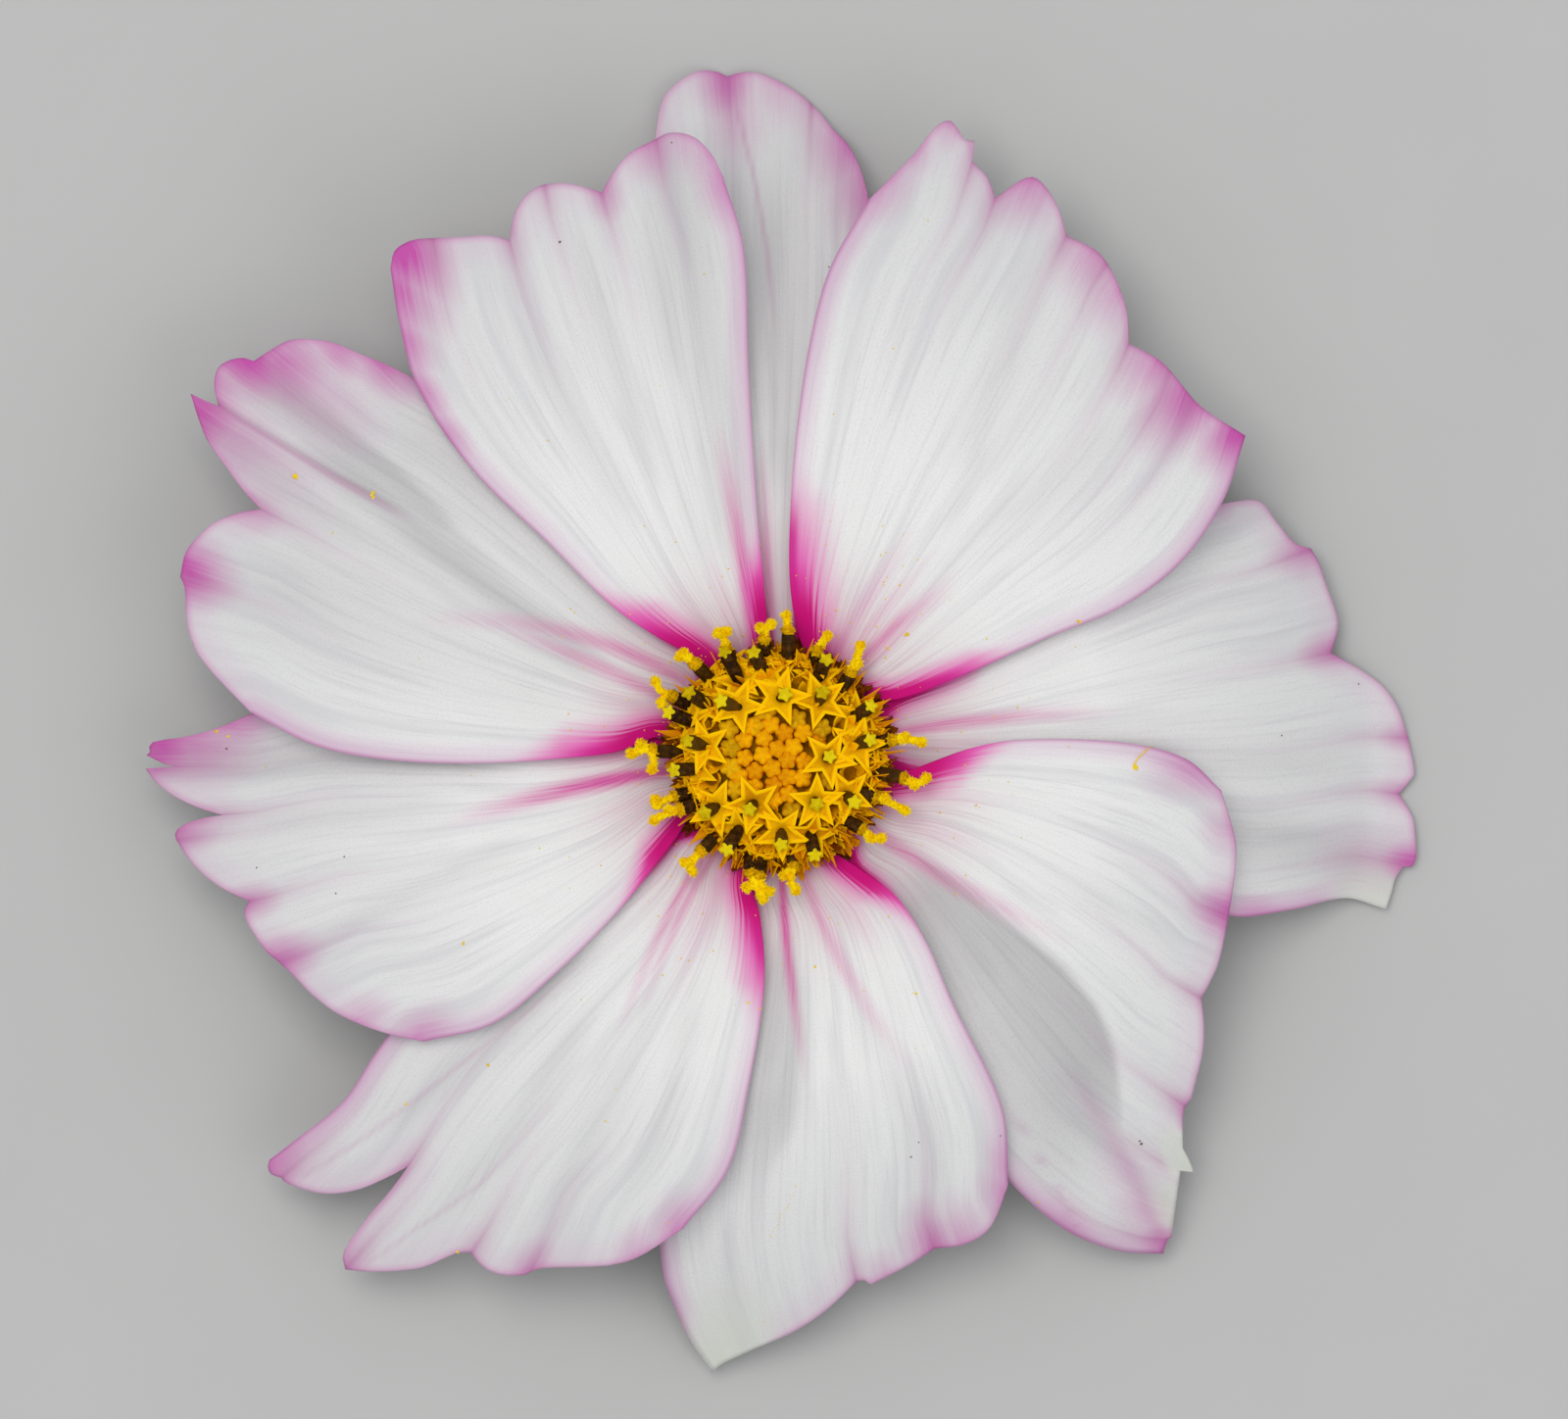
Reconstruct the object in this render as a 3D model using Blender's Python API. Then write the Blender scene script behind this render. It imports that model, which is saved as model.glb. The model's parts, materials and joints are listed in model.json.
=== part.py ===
"""Cosmos flower: one picked bloom with a short cut stem, lying face up.

Lengths are in millimetres and angles in degrees, and a mesh is written in metres. While the pieces are
made, the bloom's axis is the Z axis and the surface it lies on is Z = 0. At the end everything moves
sideways together, so that the origin is under the middle of the whole flower.
"""
import math
import random

import bmesh
import bpy
from mathutils import Vector
from mathutils.geometry import delaunay_2d_cdt

MM = 0.001
GAP = 0.35                 # between two pieces that touch on the real flower

# Driving sizes
BLADE = 0.8                # a petal's thickness, measured straight up
LIFT = 0.75                # how far a petal's edge is raised over, or dropped under, its neighbour's
PLATEAU = 10.5             # height of the petals' undersides where they are highest
PLATEAU_RADIUS = 20.0      # where they start to fall towards the tips
FALL_POWER = 1.35
CLAW_RADIUS = 5.05         # inner end of the petals
NECK_RADIUS = CLAW_RADIUS - GAP
RECEPTACLE_TOP = 5.0       # the swollen top of the stem
STEM_RADIUS = 0.9
STEM_REACH = 32.0
STEM_AZIMUTH = 238.0
PETAL_SPACING = 2.6        # between the points of a petal's mesh

# Underside of all petals from the claw to the plateau: radius, height
PETAL_RISE = [(CLAW_RADIUS, 8.3), (7.0, 8.6), (10.0, 9.2), (15.0, 10.1), (PLATEAU_RADIUS, PLATEAU)]

# The petals, anticlockwise from +X. A point is (radius, azimuth) round the bloom's axis. "right" and
# "left" are the smooth side edges, from the claw outwards, right being the clockwise one. "teeth" are
# the runs of the tip, from the right edge's end to the left edge's end: smooth inside a run, with a sharp
# corner where two runs meet. "lifts" says whether the right and the left edge go over (+1) or under (-1)
# the neighbours, and "tip" is the radius and the height that the tip falls to.
PETALS = {
    "petal_1": dict(
        axis=10, lifts=(-1, -1), tip=(38.0, 0.0),
        right=[(5.05, 0), (6.4, -3), (8, -7.5), (12, -10), (16, -15), (22, -19), (29.4, -19.3),
               (32.8, -16.8), (36.8, -13.8), (39, -13.9)],
        teeth=[[(39.1, -11.6), (40.1, -9.4)],
               [(40.0, -7.3), (39.5, -4.9), (38.8, -3.3)],
               [(39.4, -1.3), (39.2, 2.7), (37.7, 7.3), (34.9, 10.8)],
               [(35.7, 14), (35.7, 21.3)],
               [(34.3, 25.5), (31.5, 30)]],
        left=[(5.05, 20), (6.4, 24), (8, 29), (12, 28), (16, 29.5), (22, 31), (28, 31.5), (31.5, 30)]),
    "petal_2": dict(
        axis=55, lifts=(1, 1), tip=(40.8, 5.5),
        right=[(5.05, 45), (6.4, 37), (8, 27), (12, 24.5), (18, 24.3), (23, 23.9), (27.5, 26),
               (31.6, 30.1), (35, 34.7)],
        teeth=[[(33.9, 40), (34, 46), (33.5, 49.9)],
               [(35.3, 52.8), (36.9, 57.3), (36.9, 61.2)],
               [(38.5, 63.8), (39.2, 66.5), (37.1, 68.9)],
               [(38.9, 72.2), (40.8, 74.9)],
               [(38.3, 77.3), (35, 80.8)]],
        left=[(5.05, 66), (6.4, 74), (8, 82), (11, 86.6), (15, 87.4), (20, 87), (26, 85.7),
              (30.5, 84), (35, 80.8)]),
    "petal_3": dict(
        axis=92, lifts=(-1, -1), tip=(41.0, 0.0),
        right=[(5.05, 85), (6.4, 82.5), (8, 80.5), (14, 82), (20, 80), (28, 79), (35, 80.8)],
        teeth=[[(38.6, 84), (41.7, 88.7), (42.6, 94.3)],
               [(43.1, 96.6), (42.3, 99.6), (39, 101.5)]],
        left=[(5.05, 96), (6.4, 96.5), (8, 97), (14, 101), (20, 103), (28, 104), (35, 103), (39, 101.5)]),
    "petal_4": dict(
        axis=112, lifts=(1, 1), tip=(39.3, 8.0),
        right=[(5.05, 104), (6.4, 99.5), (8, 95.4), (15, 95.1), (24, 94.5), (31.6, 94), (36, 95.5)],
        teeth=[[(38.8, 98), (39, 101), (38, 105), (36.6, 107.4)],
               [(38, 111), (37.8, 115), (36, 117.5)],
               [(37.6, 121), (39.3, 126), (38.6, 128.4)]],
        left=[(5.05, 123), (6.4, 126), (8, 129), (10.6, 135), (14, 137.6), (19.4, 137), (26, 136.7),
              (31.8, 134.3), (35.5, 131.2), (38.6, 128.4)]),
    "petal_5": dict(
        axis=153, lifts=(-1, 1), tip=(42.5, 6.5),
        right=[(5.05, 142), (6.4, 134), (8, 127.5), (10.6, 131.5), (14, 133), (22, 131), (28, 131.5),
               (32.5, 133.9)],
        teeth=[[(36, 135.9), (39.2, 138.6), (41, 143.2)],
               [(42.3, 145.2), (40.7, 148)],
               [(42.6, 148.9), (39.5, 151.7), (35.5, 154.3)],
               [(38, 157.9), (38.7, 162.5), (37, 168.6), (32.7, 175)]],
        left=[(5.05, 164), (6.4, 167), (8, 171), (10, 177.5), (13.1, 179.8), (18, 180.9), (24, 180.2),
              (28.7, 178.3), (32.7, 175)]),
    "petal_6": dict(
        axis=197, lifts=(-1, 1), tip=(39.3, 5.0),
        right=[(5.05, 185), (6.4, 177), (8, 169.5), (10.5, 174.5), (15, 176), (22, 173.5), (28, 173),
               (32.7, 175)],
        teeth=[[(36.5, 177.6), (39.1, 179.3)],
               [(38.9, 180.3), (37.6, 180.9)],
               [(39.3, 181.6), (37, 184), (34.7, 186)],
               [(37.5, 187.3), (36.6, 191), (34, 195)],
               [(34.3, 198), (33.2, 202.4), (31.7, 209.2), (28, 218.5)]],
        left=[(5.05, 208), (6.4, 212), (8, 217.5), (10.4, 221), (14, 223.6), (19.2, 223.9), (24, 222.8),
              (28, 218.5)]),
    "petal_7": dict(
        axis=241, lifts=(-1, 1), tip=(41.6, 3.5),
        right=[(5.05, 230), (6.4, 222.5), (8, 216), (10.5, 218.5), (14, 217), (20, 213), (26, 213),
               (31.1, 216.4), (35, 218.3), (40.4, 218.3)],
        teeth=[[(39.9, 222.2), (36.7, 226.2), (34.1, 228.6)],
               [(37.2, 227.9), (41.5, 229.6)],
               [(40.4, 232), (38.5, 235), (36.1, 238)],
               [(36.3, 241), (33.7, 248.8), (31.1, 256.2), (29.6, 258.4)]],
        left=[(5.05, 251), (6.4, 254), (8, 257.5), (10, 263.4), (14, 266.2), (20.3, 264.7), (25.5, 262.9),
              (29.6, 258.4)]),
    "petal_8": dict(
        axis=283, lifts=(-1, 1), tip=(38.5, 1.2),
        right=[(5.05, 272), (6.4, 264), (8, 256), (10.5, 259.5), (14, 257.5), (22, 254), (28, 254.5),
               (32.2, 257), (35.8, 260.4), (38.5, 263.8)],
        teeth=[[(37, 267.2), (35, 273.2), (32.8, 278.3)],
               [(32.8, 281.5), (31.9, 287.3)],
               [(31.9, 293), (29.9, 298.2)]],
        left=[(5.05, 293), (6.4, 299), (8, 305), (11, 310.2), (14.3, 308.9), (18.5, 305.4), (25.5, 302.6),
              (29.9, 298.2)]),
    "petal_9": dict(
        axis=-27, lifts=(-1, 1), tip=(39, 1.8),
        right=[(5.05, -40), (6.4, -49), (8, -56.5), (10.5, -53.5), (14, -57), (20, -62), (26, -63),
               (31, -61), (34.6, -57.8), (39, -52.2)],
        teeth=[[(37.3, -48.7), (35.8, -46)],
               [(36.5, -44.9), (35.2, -44), (33.2, -41)],
               [(32.3, -36.6), (30, -29.8)],
               [(29.4, -19.3), (29, -12.9), (27.3, -4.1)]],
        left=[(5.05, -16), (6.4, -12), (8, -5.5), (11.9, 3.2), (15.1, 4.5), (21.2, 2.7), (25, 0),
              (27.3, -4.1)]),
}

# The disc of florets, from the underside of its core to the top of its dome: radius, height
CORE_PROFILE = [(3.3, 7.3), (NECK_RADIUS, 7.9), (NECK_RADIUS, 9.2), (6.1, 10.3), (6.3, 11.0), (5.5, 11.9),
                (3.8, 12.3), (2.0, 12.5), (0.0, 12.6)]
CORE_SIDES = 16
BUD_HEAD = (-0.6, 0.4)     # middle of the cluster of closed buds, x and y
BUD_COUNT = 22
BUD_SPREAD = 0.66          # between neighbouring buds, about

# Bracts: lobes round a hub. "waist" is the radius where neighbouring bracts part, and "lobe" holds the
# half widths of a bract as radius and sideways distance.
BRACT_COUNT = 8
INNER_BRACTS = dict(
    waist=4.6, turn=22.5, lobe=[(6.0, 1.75), (7.6, 1.7), (9.0, 1.05), (10.0, 0.0)],
    rise=[(0.0, 6.3), (3.6, 6.35), (5.2, 6.75), (7.0, 6.95), (10.0, 7.25)])
OUTER_BRACTS = dict(
    waist=2.4, turn=0.0, lobe=[(4.0, 0.75), (6.5, 0.9), (8.6, 0.6), (10.2, 0.0)],
    rise=[(0.0, 5.35), (3.0, 5.35), (6.0, 5.3), (10.2, 4.7)])
BRACT_BLADE = 0.62
BRACT_SPACING = 1.9


def polar(radius, azimuth):
    """A point in plan, in millimetres, from a radius and an azimuth in degrees."""
    turn = math.radians(azimuth)
    return Vector((radius * math.cos(turn), radius * math.sin(turn)))


def height_at(profile, radius):
    """Height on a profile of (radius, height) knots, straight between them."""
    if radius <= profile[0][0]:
        return profile[0][1]
    for (near, low), (far, high) in zip(profile, profile[1:]):
        if radius <= far:
            return low + (high - low) * (radius - near) / (far - near)
    return profile[-1][1]


def smooth_run(knots, spacing):
    """Points about `spacing` apart on the Catmull-Rom curve through plan points, ends included."""
    ends = [2 * knots[0] - knots[1]] + knots + [2 * knots[-1] - knots[-2]]
    points = [knots[0]]
    for before, start, stop, after in zip(ends, ends[1:], ends[2:], ends[3:]):
        span = (stop - start).length
        lead = (start - before).length
        trail = (after - stop).length
        into = (stop - before) * span / (lead + span)
        out = (after - start) * span / (span + trail)
        steps = max(1, round(span / spacing))
        for step in range(1, steps + 1):
            t = step / steps
            points.append(start * (1 + 2 * t) * (1 - t) ** 2 + stop * (3 - 2 * t) * t * t
                          + into * t * (1 - t) ** 2 - out * t * t * (1 - t))
    return points


def petal_outline(petal):
    """A petal's outline in plan, anticlockwise: right edge outwards, the teeth, left edge inwards."""
    right = [polar(*point) for point in petal["right"]]
    left = [polar(*point) for point in petal["left"]]
    outline = smooth_run(right, PETAL_SPACING)
    for run in petal["teeth"]:
        outline += smooth_run([outline[-1]] + [polar(*point) for point in run], PETAL_SPACING)[1:]
    return outline + smooth_run(left, PETAL_SPACING)[-2::-1]


def petal_underside(petal, point):
    """Height of a petal's underside at a plan point, never below the surface that it lies on."""
    radius = point.length
    azimuth = math.degrees(math.atan2(point.y, point.x))
    offset = (azimuth - petal["axis"] + 180) % 360 - 180
    across = max(-1.3, min(1.3, offset / 22.5))
    right, left = petal["lifts"]
    reach, low = petal["tip"]
    lift = LIFT * (right + left + (left - right) * across) / 2 * min(1, (radius - CLAW_RADIUS) / 3)
    fall = max(0, (radius - PLATEAU_RADIUS) / (reach - PLATEAU_RADIUS)) ** FALL_POWER
    return max(0, height_at(PETAL_RISE, radius) - (PLATEAU - low) * fall + lift)


def inside(point, outline):
    """Whether a plan point is inside a closed outline."""
    crossings = 0
    for start, stop in zip(outline, outline[1:] + outline[:1]):
        if (start.y > point.y) != (stop.y > point.y):
            x = start.x + (stop.x - start.x) * (point.y - start.y) / (stop.y - start.y)
            crossings += x > point.x
    return crossings % 2 == 1


def from_edge(point, outline):
    """Distance in plan from a point to a closed outline."""
    nearest = math.inf
    for start, stop in zip(outline, outline[1:] + outline[:1]):
        along = stop - start
        t = max(0, min(1, (point - start).dot(along) / along.length_squared))
        nearest = min(nearest, (start + along * t - point).length)
    return nearest


def inner_points(outline, spacing):
    """A triangular lattice of plan points that keeps clear of the outline."""
    low = Vector((min(p.x for p in outline), min(p.y for p in outline)))
    high = Vector((max(p.x for p in outline), max(p.y for p in outline)))
    row_step = spacing * math.sqrt(3) / 2
    points = []
    for row in range(int((high.y - low.y) / row_step) + 1):
        for column in range(int((high.x - low.x) / spacing) + 1):
            point = low + Vector(((column + 0.5 * (row % 2)) * spacing, (row + 0.5) * row_step))
            if inside(point, outline) and from_edge(point, outline) > 0.55 * spacing:
                points.append(point)
    return points


def blade_object(name, outline, spacing, underside, thickness, material):
    """A thin solid over a plan outline, its two faces split into the same triangles."""
    count = len(outline)
    flat, _, triangles, *_ = delaunay_2d_cdt(
        outline + inner_points(outline, spacing), [], [list(range(count))], 1, 1e-6)
    bm = bmesh.new()
    lower = [bm.verts.new((p.x * MM, p.y * MM, underside(p) * MM)) for p in flat]
    upper = [bm.verts.new((p.x * MM, p.y * MM, (underside(p) + thickness) * MM)) for p in flat]
    for a, b, c in triangles:
        bm.faces.new((upper[a], upper[b], upper[c]))
        bm.faces.new((lower[c], lower[b], lower[a]))
    for start in range(count):
        stop = (start + 1) % count
        bm.faces.new((lower[start], lower[stop], upper[stop]))
        bm.faces.new((lower[start], upper[stop], upper[start]))
    bmesh.ops.recalc_face_normals(bm, faces=bm.faces)
    return add_object(name, bm, material)


def add_object(name, bm, material):
    """Turn a bmesh into a named object of the scene."""
    mesh = bpy.data.meshes.new(name)
    bm.to_mesh(mesh)
    bm.free()
    mesh.materials.append(material)
    piece = bpy.data.objects.new(name, mesh)
    bpy.context.scene.collection.objects.link(piece)
    return piece


def plain_material(name, color, roughness):
    """A Principled material of one colour."""
    material = bpy.data.materials.new(name)
    material.use_nodes = True
    shader = material.node_tree.nodes["Principled BSDF"]
    shader.inputs["Base Color"].default_value = (*color, 1)
    shader.inputs["Roughness"].default_value = roughness
    shader.inputs["Metallic"].default_value = 0
    return material


def bract_outline(bracts):
    """Outline of a ring of bracts in plan, anticlockwise."""
    pitch = 360 / BRACT_COUNT
    outline = []
    for index in range(BRACT_COUNT):
        azimuth = bracts["turn"] + index * pitch
        axis = polar(1, azimuth)
        side = Vector((-axis.y, axis.x))
        outline.append(polar(bracts["waist"], azimuth - pitch / 2))
        outline += [axis * radius - side * half for radius, half in bracts["lobe"]]
        outline += [axis * radius + side * half for radius, half in bracts["lobe"][-2::-1]]
    return outline


def make_bracts(name, bracts, material):
    """One ring of bracts with its hub, as one thin solid."""
    blade_object(name, bract_outline(bracts), BRACT_SPACING,
                 lambda point: height_at(bracts["rise"], point.length), BRACT_BLADE, material)


def add_cone(bm, foot, head, foot_radius, head_radius, sides):
    """A tapered round from foot to head, added to a bmesh."""
    axis = head - foot
    place = axis.to_track_quat("Z", "Y").to_matrix().to_4x4()
    place.translation = (foot + head) / 2 * MM
    bmesh.ops.create_cone(bm, cap_ends=True, segments=sides, radius1=foot_radius * MM,
                          radius2=head_radius * MM, depth=axis.length * MM, matrix=place)


def add_star(bm, middle, axis, reach, turn):
    """An open corolla: a cup with five pointed lobes on a short root, added to a bmesh."""
    frame = axis.to_track_quat("Z", "Y").to_matrix()
    rings = []
    for depth, long, short in ((-1.2, 0.5, 0.45), (0.35, reach, 0.5 * reach)):
        ring = []
        for corner in range(10):
            angle = turn + corner * math.pi / 5
            radius = long if corner % 2 == 0 else short
            spot = Vector((radius * math.cos(angle), radius * math.sin(angle), depth))
            ring.append(bm.verts.new((middle + frame @ spot) * MM))
        rings.append(ring)
    root, rim = rings
    throat = bm.verts.new((middle + frame @ Vector((0, 0, -0.1))) * MM)
    bm.faces.new(root[::-1])
    for corner in range(10):
        after = (corner + 1) % 10
        bm.faces.new((root[corner], root[after], rim[after]))
        bm.faces.new((root[corner], rim[after], rim[corner]))
        bm.faces.new((rim[corner], rim[after], throat))


def floret_spots(count, turn, radius, height, lean):
    """Places round the disc: a point, and the direction of a floret that leans outwards there."""
    spots = []
    for index in range(count):
        azimuth = turn + 360 * index / count
        out = polar(1, azimuth).to_3d()
        middle = out * radius + Vector((0, 0, height))
        direction = out * math.sin(math.radians(lean)) + Vector((0, 0, math.cos(math.radians(lean))))
        spots.append((middle, direction, azimuth))
    return spots


def make_buds(add_floret):
    """The closed buds in the middle of the disc, spread like seeds in a head."""
    for index in range(BUD_COUNT):
        spot = polar(BUD_SPREAD * math.sqrt(index + 0.3), index * 137.508)
        foot = Vector((BUD_HEAD[0] + spot.x, BUD_HEAD[1] + spot.y, 11.9))
        head = foot + Vector((spot.x * 0.12, spot.y * 0.12, 1.5 - 0.06 * spot.length))
        add_floret(lambda bm: add_cone(bm, foot, head, 0.52, 0.3, 5))


def make_open_florets(add_floret, draw):
    """Two rings of open corollas, the outer one with its tubes of anthers leaning outwards."""
    for middle, direction, azimuth in floret_spots(12, 8, 3.9, 12.55, 12):
        turn = math.radians(azimuth) + draw.uniform(-0.5, 0.5)
        add_floret(lambda bm: add_star(bm, middle, direction, 1.45, turn))
    for middle, direction, azimuth in floret_spots(12, 23, 5.5, 12.0, 38):
        turn = math.radians(azimuth) + draw.uniform(-0.5, 0.5)
        add_floret(lambda bm: add_star(bm, middle, direction, 1.3, turn))
        add_floret(lambda bm: add_cone(bm, middle - direction * 0.9, middle + direction * 1.3,
                                       0.42, 0.4, 6))


def make_outer_florets(add_floret, draw):
    """The outer ring: dark tubes lying outwards, each with a forked stigma, over faded corollas."""
    for middle, direction, azimuth in floret_spots(16, 0, 5.6, 11.35, 66):
        tube_end = middle + direction * 1.9
        add_floret(lambda bm: add_cone(bm, middle - direction * 0.9, tube_end, 0.44, 0.4, 6))
        for side in (-1, 1):
            way = polar(1, azimuth + side * draw.uniform(35, 55)).to_3d() + Vector((0, 0, 0.35))
            add_floret(lambda bm: add_cone(bm, tube_end - direction * 0.3,
                                           tube_end + way.normalized() * 1.05, 0.34, 0.2, 4))
    for middle, direction, azimuth in floret_spots(10, 11, 6.0, 10.95, 80):
        add_floret(lambda bm: add_cone(bm, middle - direction * 0.9, middle + direction * 1.35,
                                       0.4, 0.75, 5))


def make_disc(material):
    """The disc: a small turned core with every floret joined to it by one Boolean union."""
    bm = bmesh.new()
    profile = [(0.0, CORE_PROFILE[0][1])] + CORE_PROFILE
    verts = [bm.verts.new((radius * MM, 0, height * MM)) for radius, height in profile]
    edges = [bm.edges.new(pair) for pair in zip(verts, verts[1:])]
    bmesh.ops.spin(bm, geom=verts + edges, cent=(0, 0, 0), axis=(0, 0, 1), angle=2 * math.pi,
                   steps=CORE_SIDES, use_merge=True)
    bmesh.ops.remove_doubles(bm, verts=bm.verts, dist=1e-6)
    bmesh.ops.recalc_face_normals(bm, faces=bm.faces)
    disc = add_object("disc_florets", bm, material)

    florets = bpy.data.collections.new("florets")
    bpy.context.scene.collection.children.link(florets)

    def add_floret(build):
        floret_bm = bmesh.new()
        build(floret_bm)
        floret = add_object("floret", floret_bm, material)
        bpy.context.scene.collection.objects.unlink(floret)
        florets.objects.link(floret)

    draw = random.Random(4)
    make_buds(add_floret)
    make_open_florets(add_floret, draw)
    make_outer_florets(add_floret, draw)

    union = disc.modifiers.new("florets", "BOOLEAN")
    union.operation = "UNION"
    union.operand_type = "COLLECTION"
    union.collection = florets
    bpy.context.view_layer.update()
    joined = bpy.data.meshes.new_from_object(disc.evaluated_get(bpy.context.evaluated_depsgraph_get()))
    disc.modifiers.clear()
    disc.data = joined
    for floret in list(florets.objects):
        bpy.data.objects.remove(floret)
    bpy.data.collections.remove(florets)
    return disc


def make_stem(material):
    """The cut stem: swollen under the bloom, bent over, and lying along the surface to its cut end."""
    bend = polar(1, STEM_AZIMUTH)
    knots = [(0.0, RECEPTACLE_TOP, 2.5), (0.0, 4.3, 2.3), (0.35, 3.3, 1.5), (1.4, 2.1, 1.05),
             (3.2, 1.25, 0.92), (6.0, STEM_RADIUS, STEM_RADIUS)]
    lying = 9
    for step in range(1, lying + 1):
        knots.append((6.0 + (STEM_REACH - 6.0) * step / lying, STEM_RADIUS, STEM_RADIUS))

    curve = bpy.data.curves.new("stem", "CURVE")
    curve.dimensions = "3D"
    curve.bevel_depth = MM
    curve.bevel_resolution = 4
    curve.use_fill_caps = True
    curve.materials.append(material)
    path = curve.splines.new("POLY")
    path.points.add(len(knots) - 1)
    for point, (out, height, radius) in zip(path.points, knots):
        sway = 0.05 * out * math.sin(math.pi * out / STEM_REACH)
        spot = bend * out + Vector((-bend.y, bend.x)) * sway
        point.co = (spot.x * MM, spot.y * MM, height * MM, 1)
        point.radius = radius
    stem = bpy.data.objects.new("stem", curve)
    bpy.context.scene.collection.objects.link(stem)
    return stem


def centre_on_origin():
    """Move every piece sideways together, so that the origin is under the middle of the flower."""
    bpy.context.view_layer.update()
    graph = bpy.context.evaluated_depsgraph_get()
    corners = []
    for piece in bpy.context.scene.objects:
        mesh = piece.evaluated_get(graph).to_mesh()
        corners += [vert.co.copy() for vert in mesh.vertices]
        piece.evaluated_get(graph).to_mesh_clear()
    shift = [(min(c[i] for c in corners) + max(c[i] for c in corners)) / 2 for i in (0, 1)]
    for piece in bpy.context.scene.objects:
        piece.location = (-shift[0], -shift[1], 0)


def main():
    for leftover in list(bpy.data.objects):
        bpy.data.objects.remove(leftover)

    petal_material = plain_material("petal", (0.80, 0.76, 0.80), 0.6)
    for name, petal in PETALS.items():
        blade_object(name, petal_outline(petal), PETAL_SPACING,
                     lambda point: petal_underside(petal, point), BLADE, petal_material)
    make_disc(plain_material("disc", (0.80, 0.45, 0.03), 0.7))
    make_bracts("inner_bracts", INNER_BRACTS, plain_material("inner_bract", (0.42, 0.47, 0.20), 0.6))
    make_bracts("outer_bracts", OUTER_BRACTS, plain_material("outer_bract", (0.13, 0.25, 0.05), 0.6))
    make_stem(plain_material("stem", (0.14, 0.26, 0.06), 0.55))
    centre_on_origin()


main()
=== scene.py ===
"""Cosmos flower: the picked bloom that the frame holds, dressed with its real surfaces.

Lengths are in millimetres and angles in degrees until a piece is handed over, in metres. A place on the
flower is (radius, azimuth) round the bloom's axis, which the ring of outer bracts is centred on.
"""
import json
import math
import random

import bpy
import numpy as np
from mathutils import Matrix, Vector, noise

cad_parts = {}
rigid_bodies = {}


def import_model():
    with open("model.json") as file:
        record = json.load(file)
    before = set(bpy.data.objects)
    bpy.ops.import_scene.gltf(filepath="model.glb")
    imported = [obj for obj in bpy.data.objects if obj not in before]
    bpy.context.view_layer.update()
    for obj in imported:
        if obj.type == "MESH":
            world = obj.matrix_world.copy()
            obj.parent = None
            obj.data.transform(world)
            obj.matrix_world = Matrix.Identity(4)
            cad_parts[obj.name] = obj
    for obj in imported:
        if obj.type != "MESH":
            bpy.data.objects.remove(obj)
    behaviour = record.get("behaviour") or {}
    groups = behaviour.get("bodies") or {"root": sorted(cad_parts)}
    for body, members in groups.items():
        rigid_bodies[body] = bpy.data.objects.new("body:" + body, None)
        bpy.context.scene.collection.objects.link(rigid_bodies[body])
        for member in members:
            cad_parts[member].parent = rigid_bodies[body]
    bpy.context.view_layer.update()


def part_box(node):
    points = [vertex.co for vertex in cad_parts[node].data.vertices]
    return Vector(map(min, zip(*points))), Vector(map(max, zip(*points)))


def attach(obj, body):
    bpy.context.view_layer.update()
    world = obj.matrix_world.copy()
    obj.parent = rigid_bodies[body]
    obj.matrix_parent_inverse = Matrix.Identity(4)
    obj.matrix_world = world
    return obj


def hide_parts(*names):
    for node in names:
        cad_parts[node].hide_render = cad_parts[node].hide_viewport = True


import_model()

noise.seed_set(1)          # unset, its push of a point would change from run to run

MM = 0.001
_low, _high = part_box("outer_bracts")
BLOOM_X = (_low[0] + _high[0]) / 2 / MM
BLOOM_Y = (_low[1] + _high[1]) / 2 / MM


# ---------------------------------------------------------------- helpers

def plan(radius, azimuth):
    """A place in plan round the bloom's axis."""
    turn = math.radians(azimuth)
    return Vector((radius * math.cos(turn), radius * math.sin(turn)))


def place_at(x, y, height):
    """A plan place at a height, counted from the origin."""
    return Vector((BLOOM_X + x, BLOOM_Y + y, height))


def polar(radius, azimuth, height):
    """The same, from a radius and an azimuth."""
    turn = math.radians(azimuth)
    return place_at(radius * math.cos(turn), radius * math.sin(turn), height)


def ease(value, low, high):
    """Rises smoothly from 0 at low to 1 at high."""
    t = np.clip((value - low) / (high - low), 0, 1)
    return t * t * (3 - 2 * t)


def any_way(draw, amount):
    """A random push, the same amount at most along each axis."""
    return Vector([draw.uniform(-amount, amount) for _ in range(3)])


def active_piece(name):
    """The object that an operator has just added or joined, renamed."""
    piece = bpy.context.object
    piece.name = piece.data.name = name
    return piece


def select_only(*pieces):
    bpy.ops.object.select_all(action="DESELECT")
    for piece in pieces:
        piece.select_set(True)
    bpy.context.view_layer.objects.active = pieces[0]


def join_all(name, pieces):
    select_only(*pieces)
    bpy.ops.object.join()
    return active_piece(name)


def copy_of(template):
    """A copy of a template, with a mesh of its own."""
    copy = template.copy()
    copy.data = template.data.copy()
    bpy.context.scene.collection.objects.link(copy)
    return copy


def thicken(piece, thickness, offset=0.0):
    select_only(piece)
    modifier = piece.modifiers.new("thickness", "SOLIDIFY")
    modifier.thickness = thickness
    modifier.offset = offset
    bpy.ops.object.modifier_apply(modifier=modifier.name)


def move_points(piece, places):
    piece.data.vertices.foreach_set("co", places.astype(np.float32).ravel())


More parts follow.
